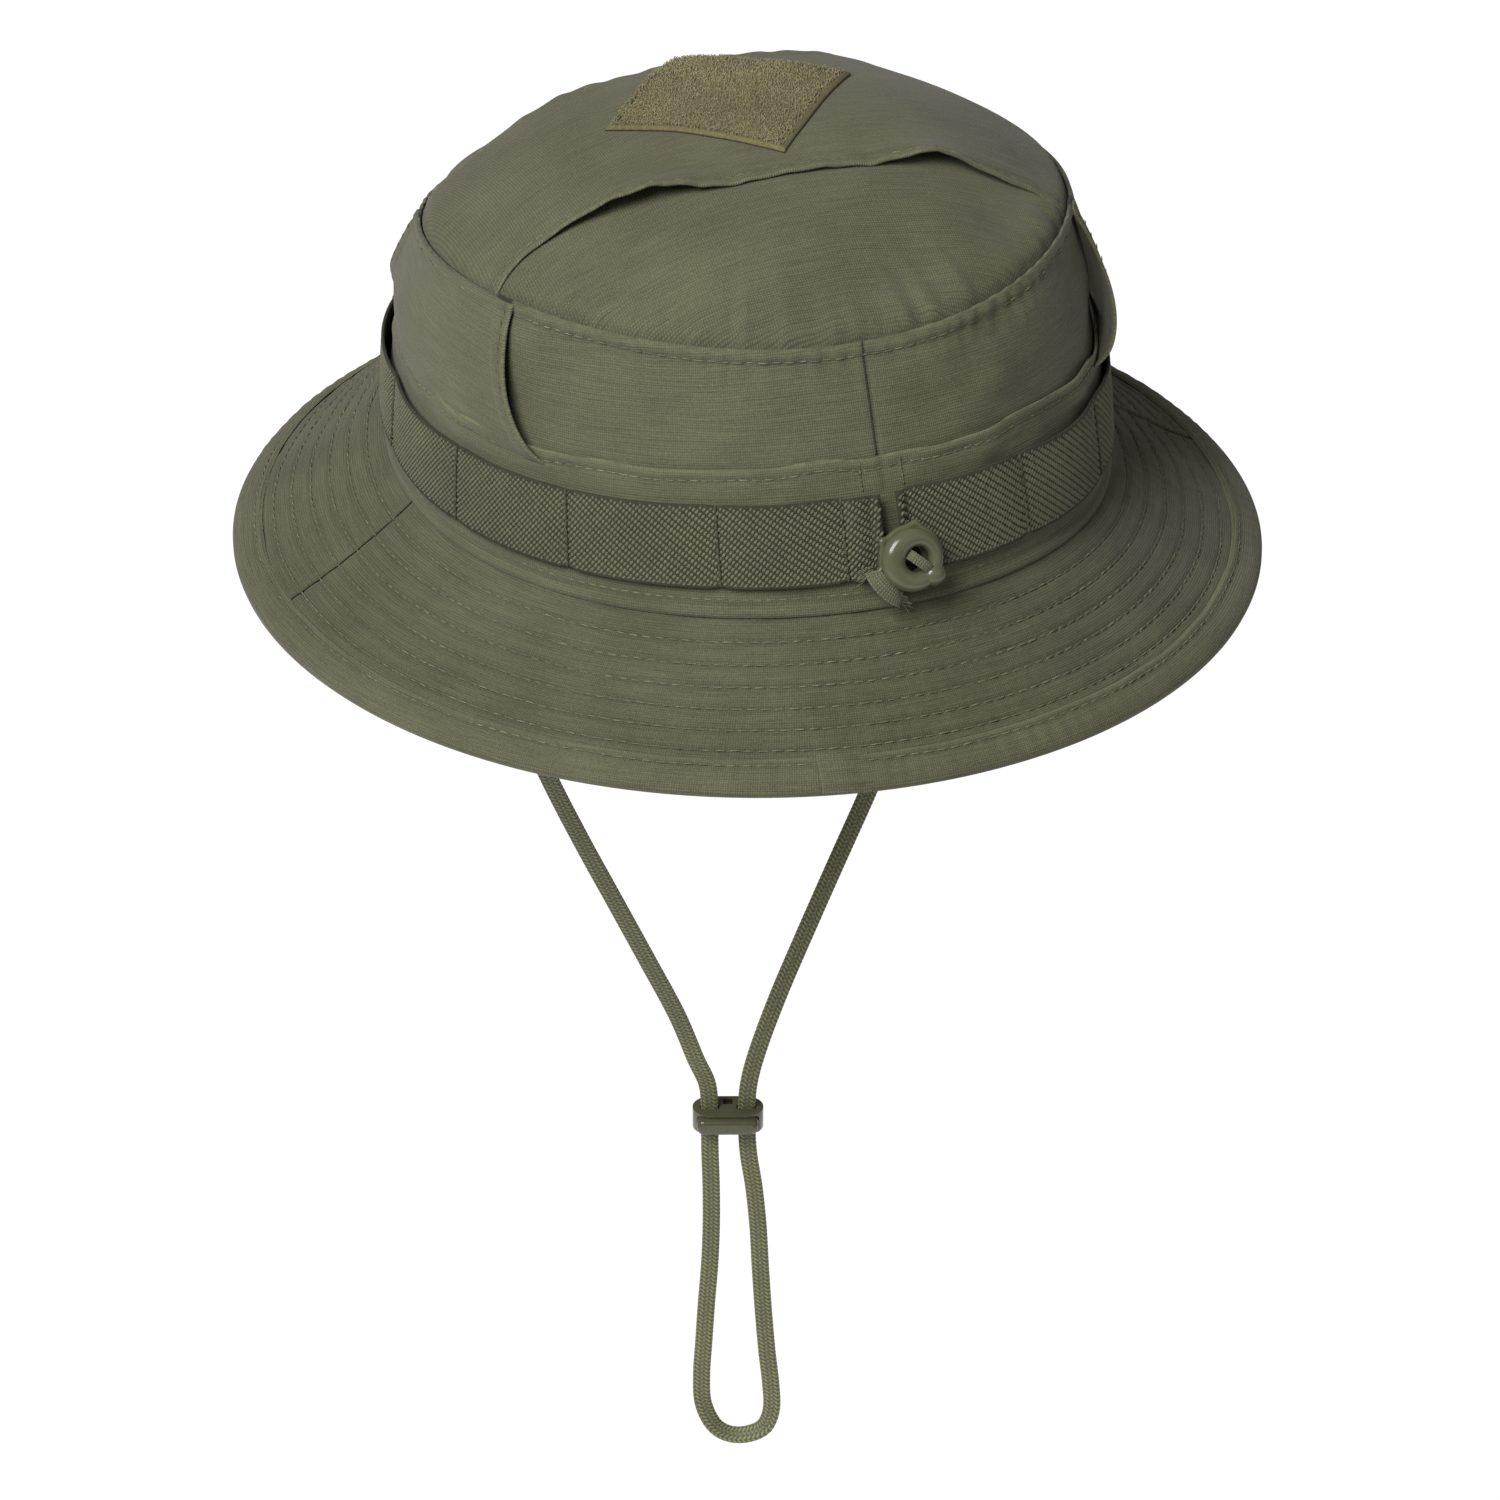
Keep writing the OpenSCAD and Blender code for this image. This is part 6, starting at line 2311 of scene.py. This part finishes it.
@dataclass
class ChinCord:
    """The flat braided cord: two legs to the cord lock and the loop below it.

    Attributes:
        form: The hat's form.
        finishes: The finishes.
        wide: Width of the cord.
        thick: Its thickness.
        strand: Distance between two strands of the braid, along the cord.
        turn: How far the cord's face is turned from the back, in degrees.
    """

    form: HatForm
    finishes: Finishes
    wide: float = 4.6
    thick: float = 1.6
    strand: float = 1.2
    turn: float = 20.0

    def braid(self, way: list[tuple[float, float, float]], name: str, twist: tuple[float, float] = (0, 0)) -> tuple:
        """The cord along a way: its strands cross in a herringbone on both faces.

        Args:
            way: The route's points, in millimetres.
            name: The piece's name.
            twist: Turn of the face at the way's middle and where it fades, in degrees and share.

        Returns:
            The piece, and the points that it follows.
        """
        curve = catmull(np.array(way, float), 40)
        length = np.concatenate([[0], np.cumsum(np.linalg.norm(np.diff(curve, axis=0), axis=-1))])
        count = int(length[-1] / 0.26)
        even = np.linspace(0, length[-1], count)
        line = np.stack([np.interp(even, length, curve[:, k]) for k in range(3)], axis=-1)
        forward = unit(np.gradient(line, axis=0))
        face = np.array([sin(self.turn), cos(self.turn), 0.0])
        side = unit(np.cross(forward, face))
        face = unit(np.cross(side, forward))
        angle = (twist[0] * np.exp(-(((even / length[-1] - twist[1]) / 0.05) ** 2)))[:, None]
        side, face = side * cos(angle) + face * sin(angle), face * cos(angle) - side * sin(angle)
        k = np.linspace(0, 360, 32, endpoint=False)[None, :]
        x = self.wide / 2 * np.sign(cos(k)) * np.abs(cos(k)) ** 0.8
        y = self.thick / 2 * np.sign(sin(k)) * np.abs(sin(k)) ** 0.5
        column = self.wide / 4
        zigzag = np.abs((x / column + 0.5) % 2 - 1)
        phase = even[:, None] / self.strand + 0.75 * zigzag
        bumps = np.abs(np.sin(np.pi * phase)) ** 0.6
        middle = np.exp(-(((zigzag - np.round(zigzag)) * column / 0.16) ** 2))
        relief = 0.2 * (bumps - 0.75) - 0.1 * middle
        grow = 1 + relief / (self.thick / 2)
        ends = ease(np.minimum(even, length[-1] - even) / 0.6)[:, None]
        y = y * np.where(ends < 1, 1.0, grow)
        x = x * (1 + 0.035 * (bumps - 0.6))
        rings = line[:, None] + side[:, None] * x[..., None] + face[:, None] * y[..., None]
        around = np.concatenate([k[0], [360.0]]) / 360 * 11
        uv = point(even[:, None], around[None, :], 0)[..., :2]
        # painted highlight on the raised strands and painted shade in the grooves between them
        painted_shading_and_fade = 1.1 * (bumps - 0.75) - 0.3 * middle
        piece = Loft(rings, uv, Ends.FLAT, painted_shading_and_fade).build(name, self.finishes.braid)
        step = max(1, count // 90)
        path = np.concatenate([line[::step], line[-1:]])
        return piece, (path * MM).tolist(), float(length[-1]) * MM

    def build(self, lock: list[bpy.types.Object]) -> None:
        """Builds the cord's three stretches and the tabs that hold it.

        Args:
            lock: The cord lock's pieces, which hang on the left leg.
        """
        diameter = self.wide * MM
        swing_top = (0, -0.014, -0.019)
        at_lock = (0, -0.014, -0.218)
        bottom = (0, -0.014, -0.318)
        left, path, length = self.braid(LEFT_LEG, "chin_cord_left_leg")
        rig.blend(left, "chin_cord", "cord_lock", start=swing_top, end=at_lock)
        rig.replaces(left, "cord_leg_left")
        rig.slot(left, "braided_cord")
        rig.cord(
            left, exit=path[0], length=length, diameter=diameter, far_end="fitting",
            stiffness="limp", lay="hanging", path=path, with_pieces=lock,
        )
        right, path, length = self.braid(RIGHT_LEG[::-1], "chin_cord_right_leg")
        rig.blend(right, "chin_cord", "cord_lock", start=swing_top, end=at_lock)
        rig.replaces(right, "cord_leg_right")
        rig.slot(right, "braided_cord")
        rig.cord(
            right, exit=path[0], length=length, diameter=diameter, far_end="object",
            stiffness="limp", lay="hanging", path=path,
        )
        loop, path, length = self.braid(LOOP, "chin_cord_loop", (55, 0.49))
        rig.blend(loop, "cord_lock", "chin_cord", start=at_lock, end=bottom)
        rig.replaces(loop, "cord_loop")
        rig.slot(loop, "braided_cord")
        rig.cord(
            loop, exit=path[0], length=length, diameter=diameter, far_end="object",
            stiffness="limp", lay="hanging", path=path,
        )
        self.anchors()

    def anchors(self) -> None:
        """The folded tapes, sewn inside the sweatband, that hold the cord's ends."""
        for node in ("cord_anchor_left", "cord_anchor_right"):
            low, high = (np.array(c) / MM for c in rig.box(node))
            z = np.linspace(high[2], low[2], 40)[:, None]
            y = np.linspace(low[1], high[1], 24)[None, :]
            edge = np.minimum(y - low[1], high[1] - y)
            fold = ease((z - low[2]) / 1.6)
            half = (high[0] - low[0]) / 2 * (0.25 + 0.75 * fold) * (0.8 + 0.2 * ease(edge / 0.8))
            stitched = 0.25 * np.exp(-(((z - high[2] + 5) / 0.6) ** 2)) * ease(edge / 1.0)
            middle = (low[0] + high[0]) / 2
            front = point(middle + half - stitched, y + 0 * z, z + 0 * y)
            back = point(middle - half + stitched, y + 0 * z, z + 0 * y)
            flat = point(y + 0 * z, z + 0 * y, 0)[..., :2]
            piece = Cloth(front, back, flat).build(f"{node}_tape", self.finishes.lining)
            place(piece, "hat", "lining_cloth", node)


@dataclass
class CordLock:
    """The sprung lock on the chin cord.

    Attributes:
        finishes: The finishes.
        edge_r: Radius of its moulded edges, in millimetres.
        turn: How far it is turned about the cord, in degrees.
        cad_corner: Radius of the CAD button's long edges.
        nose_corner: Radius of the shown button's long edges.
        spring_at: Where the spring's middle is along the button's stroke.
    """

    finishes: Finishes
    edge_r: float = 0.32
    turn: float = 20.0
    cad_corner: float = 1.2
    nose_corner: float = 1.9
    spring_at: float = -1.25

    def middle(self) -> Grid:
        """The middle of the lock, on the cord's line."""
        low, high = (np.array(v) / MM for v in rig.box("cord_lock_spring"))
        ahead = point(sin(self.turn), cos(self.turn), 0)
        return (low + high) / 2 - self.spring_at * ahead

    def round_corners(self, mesh: bpy.types.Mesh, corner: float) -> None:
        """Gives the button's long edges a larger radius."""
        spots = np.array([v.co for v in mesh.vertices]) / MM
        middle = self.middle()
        across = point(cos(self.turn), -sin(self.turn), 0)
        x, z = (spots - middle) @ across, spots[:, 2] - middle[2]
        half_w, half_h = np.abs(x).max(), np.abs(z).max()
        old = self.cad_corner
        dx, dz = np.abs(x) - half_w + old, np.abs(z) - half_h + old
        hit = (dx > -0.02) & (dz > -0.02) & (np.hypot(dx, dz) > old - 0.05)
        turn = np.degrees(np.arctan2(dz, dx))
        shift_x = (half_w - corner + corner * cos(turn) - np.abs(x)) * np.sign(x) * hit
        shift_z = (half_h - corner + corner * sin(turn) - np.abs(z)) * np.sign(z) * hit
        spots = spots + shift_x[:, None] * across + shift_z[:, None] * point(0, 0, 1)
        ahead = point(sin(self.turn), cos(self.turn), 0)
        depth = (spots - self.middle()) @ ahead
        spots = spots - np.maximum(depth - 5.1, 0)[:, None] * ahead
        for vertex, spot in zip(mesh.vertices, spots * MM):
            vertex.co = spot

    def moulded(self, node: str, name: str, body: str, corner: float = 0.0) -> bpy.types.Object:
        """A CAD node's shape with the rounded edges of a moulding."""
        piece = merged_copy(node, name)
        piece.data.materials.append(self.finishes.satin)
        if corner:
            self.round_corners(piece.data, corner)
        bevel = piece.modifiers.new("edges", "BEVEL")
        bevel.width = self.edge_r * MM
        bevel.segments = 3
        bevel.limit_method = "ANGLE"
        bevel.angle_limit = math.radians(40)
        bevel.use_clamp_overlap = True
        bevel.harden_normals = False
        bpy.context.view_layer.update()
        graph = bpy.context.evaluated_depsgraph_get()
        mesh = bpy.data.meshes.new_from_object(piece.evaluated_get(graph))
        piece.modifiers.clear()
        piece.data = mesh
        mesh.shade_smooth()
        mesh.set_sharp_from_angle(angle=math.radians(45))
        return place(piece, body, "lock_plastic", node)

    def nose(self, middle: Grid) -> bpy.types.Object:
        """The button's rounded face, in front of the body."""
        start, end, soft = 4.75, 6.65, 1.25
        depth = np.concatenate([[start, start + 0.2], end - soft + soft * sin(np.linspace(0, 90, 9))])[:, None]
        inset = soft * (1 - np.sqrt(1 - np.clip((depth - end + soft) / soft, 0, 1) ** 2))
        turn = np.linspace(0, 360, 64, endpoint=False)[None, :] + 2.8
        r = np.maximum(self.nose_corner - 0.6 * inset, 0.4)
        x = (8.03 - inset - r) * np.sign(cos(turn)) + r * cos(turn)
        z = (2.23 - inset - np.minimum(r, 2.2 - inset)) * np.sign(sin(turn)) + np.minimum(r, 2.2 - inset) * sin(turn)
        across, ahead = point(cos(self.turn), -sin(self.turn), 0), point(sin(self.turn), cos(self.turn), 0)
        rings = middle + x[..., None] * across + depth[..., None] * ahead + z[..., None] * point(0, 0, 1)
        piece = Loft(rings, np.zeros((len(depth), 65, 2)), Ends.FLAT).build("cord_lock_nose", self.finishes.satin)
        return place(piece, "lock_button", "lock_plastic")

    def build(self) -> list[bpy.types.Object]:
        """Builds the lock and returns its shown pieces."""
        body = self.moulded("cord_lock_body", "cord_lock_shell", "cord_lock")
        button = self.moulded("cord_lock_button", "cord_lock_plunger", "lock_button", self.nose_corner)
        nose = self.nose(self.middle())
        spring = frame["nodes"]["cord_lock_spring"]
        spring.data.materials.clear()
        spring.data.materials.append(self.finishes.steel)
        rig.slot(spring, "spring_steel")
        return [body, button, nose, spring]


# ---------------------------------------------------------------- studio


@dataclass
class Studio:
    """A pale floor, soft light and the camera.

    Attributes:
        finishes: The finishes.
        turn: The camera's turn round the hat from straight behind it, in degrees.
        rise: Its angle over the horizon.
        distance: Its distance from the hat's origin, in metres.
        aim: How far it is shifted to its own right and up, in metres.
        half_width: Half the width that it sees at that distance.
        floor_z: Height of the floor.
    """

    finishes: Finishes
    turn: float = 20.4
    rise: float = 30.1
    distance: float = 2.8023
    aim: tuple[float, float] = (0.0009, -0.0858)
    half_width: float = 0.18890
    floor_z: float = -4.2

    def axes(self) -> tuple[Vector, Vector, Vector]:
        """The camera's right, up and backward directions."""
        a, e = math.radians(self.turn), math.radians(self.rise)
        right = Vector((-math.cos(a), math.sin(a), 0))
        back = Vector((math.sin(a) * math.cos(e), math.cos(a) * math.cos(e), math.sin(e)))
        return right, back.cross(right), back

    def camera(self) -> None:
        """The camera, straight on its line of sight, with no shift."""
        right, up, back = self.axes()
        data = bpy.data.cameras.new("camera")
        data.sensor_width = 36.0
        data.lens = data.sensor_width / 2 * self.distance / self.half_width
        data.clip_start, data.clip_end = 0.05, 60.0
        camera = bpy.data.objects.new("camera", data)
        camera.location = right * self.aim[0] + up * self.aim[1] + back * self.distance
        camera.rotation_mode = "QUATERNION"
        camera.rotation_quaternion = (-back).to_track_quat("-Z", "Y")
        bpy.context.scene.collection.objects.link(camera)
        bpy.context.scene.camera = camera

    def lamp(self, name: str, spot: Vector, size: float, power: float) -> None:
        """A square soft light that faces the hat."""
        data = bpy.data.lights.new(name, "AREA")
        data.size = size
        data.energy = power
        lamp = bpy.data.objects.new(name, data)
        lamp.location = spot
        lamp.rotation_mode = "QUATERNION"
        lamp.rotation_quaternion = (-spot).to_track_quat("-Z", "Y")
        bpy.context.scene.collection.objects.link(lamp)

    def build(self) -> None:
        """Makes the camera, the lights, the sky and the floor."""
        self.camera()
        right, up, back = self.axes()
        self.lamp("key_light", right * -1.15 + up * 0.97 + back * 2.3, 1.5, 98.0)
        self.lamp("fill_light", right * 1.8 + up * 0.3 + back * 1.6, 1.6, 3.0)
        world = bpy.data.worlds.new("studio")
        world.use_nodes = True
        world.node_tree.nodes["Background"].inputs["Color"].default_value = (1.0, 1.0, 1.0, 1.0)
        world.node_tree.nodes["Background"].inputs["Strength"].default_value = 0.16
        bpy.context.scene.world = world
        bpy.context.scene.view_settings.view_transform = "Standard"
        half = 12000.0
        corners = np.array([[-half, -half, 0], [half, -half, 0], [half, half, 0], [-half, half, 0]])
        floor = add_object("studio_floor", corners + [0, 0, self.floor_z / MM], [[0, 1, 2, 3]], self.finishes.floor)
        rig.stage(floor)


def main() -> None:
    """Builds the studio, the cord and its lock, then the hat."""
    logging.basicConfig(level=logging.INFO, format="%(name)s %(message)s")
    finishes = Finishes()
    form = HatForm()
    Studio(finishes).build()
    lock = CordLock(finishes).build()
    ChinCord(form, finishes).build(lock)
    Brim(form, finishes).build()
    Bands(form, finishes).build()
    CrownWall(form, finishes).build()
    CrownTip(form, finishes).build()
    Drawcord(form, finishes).build()
    for shape in [o for o in bpy.data.objects if o.hide_render and not o.get("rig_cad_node")]:
        bpy.data.objects.remove(shape)
    sizes = {"cad_box": [list(c) for c in CAD_BOX], "visual_box": [list(c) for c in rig.bounds()]}
    with open("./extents.json", "w") as out:
        json.dump(sizes, out)


if __name__ == "__main__":
    main()
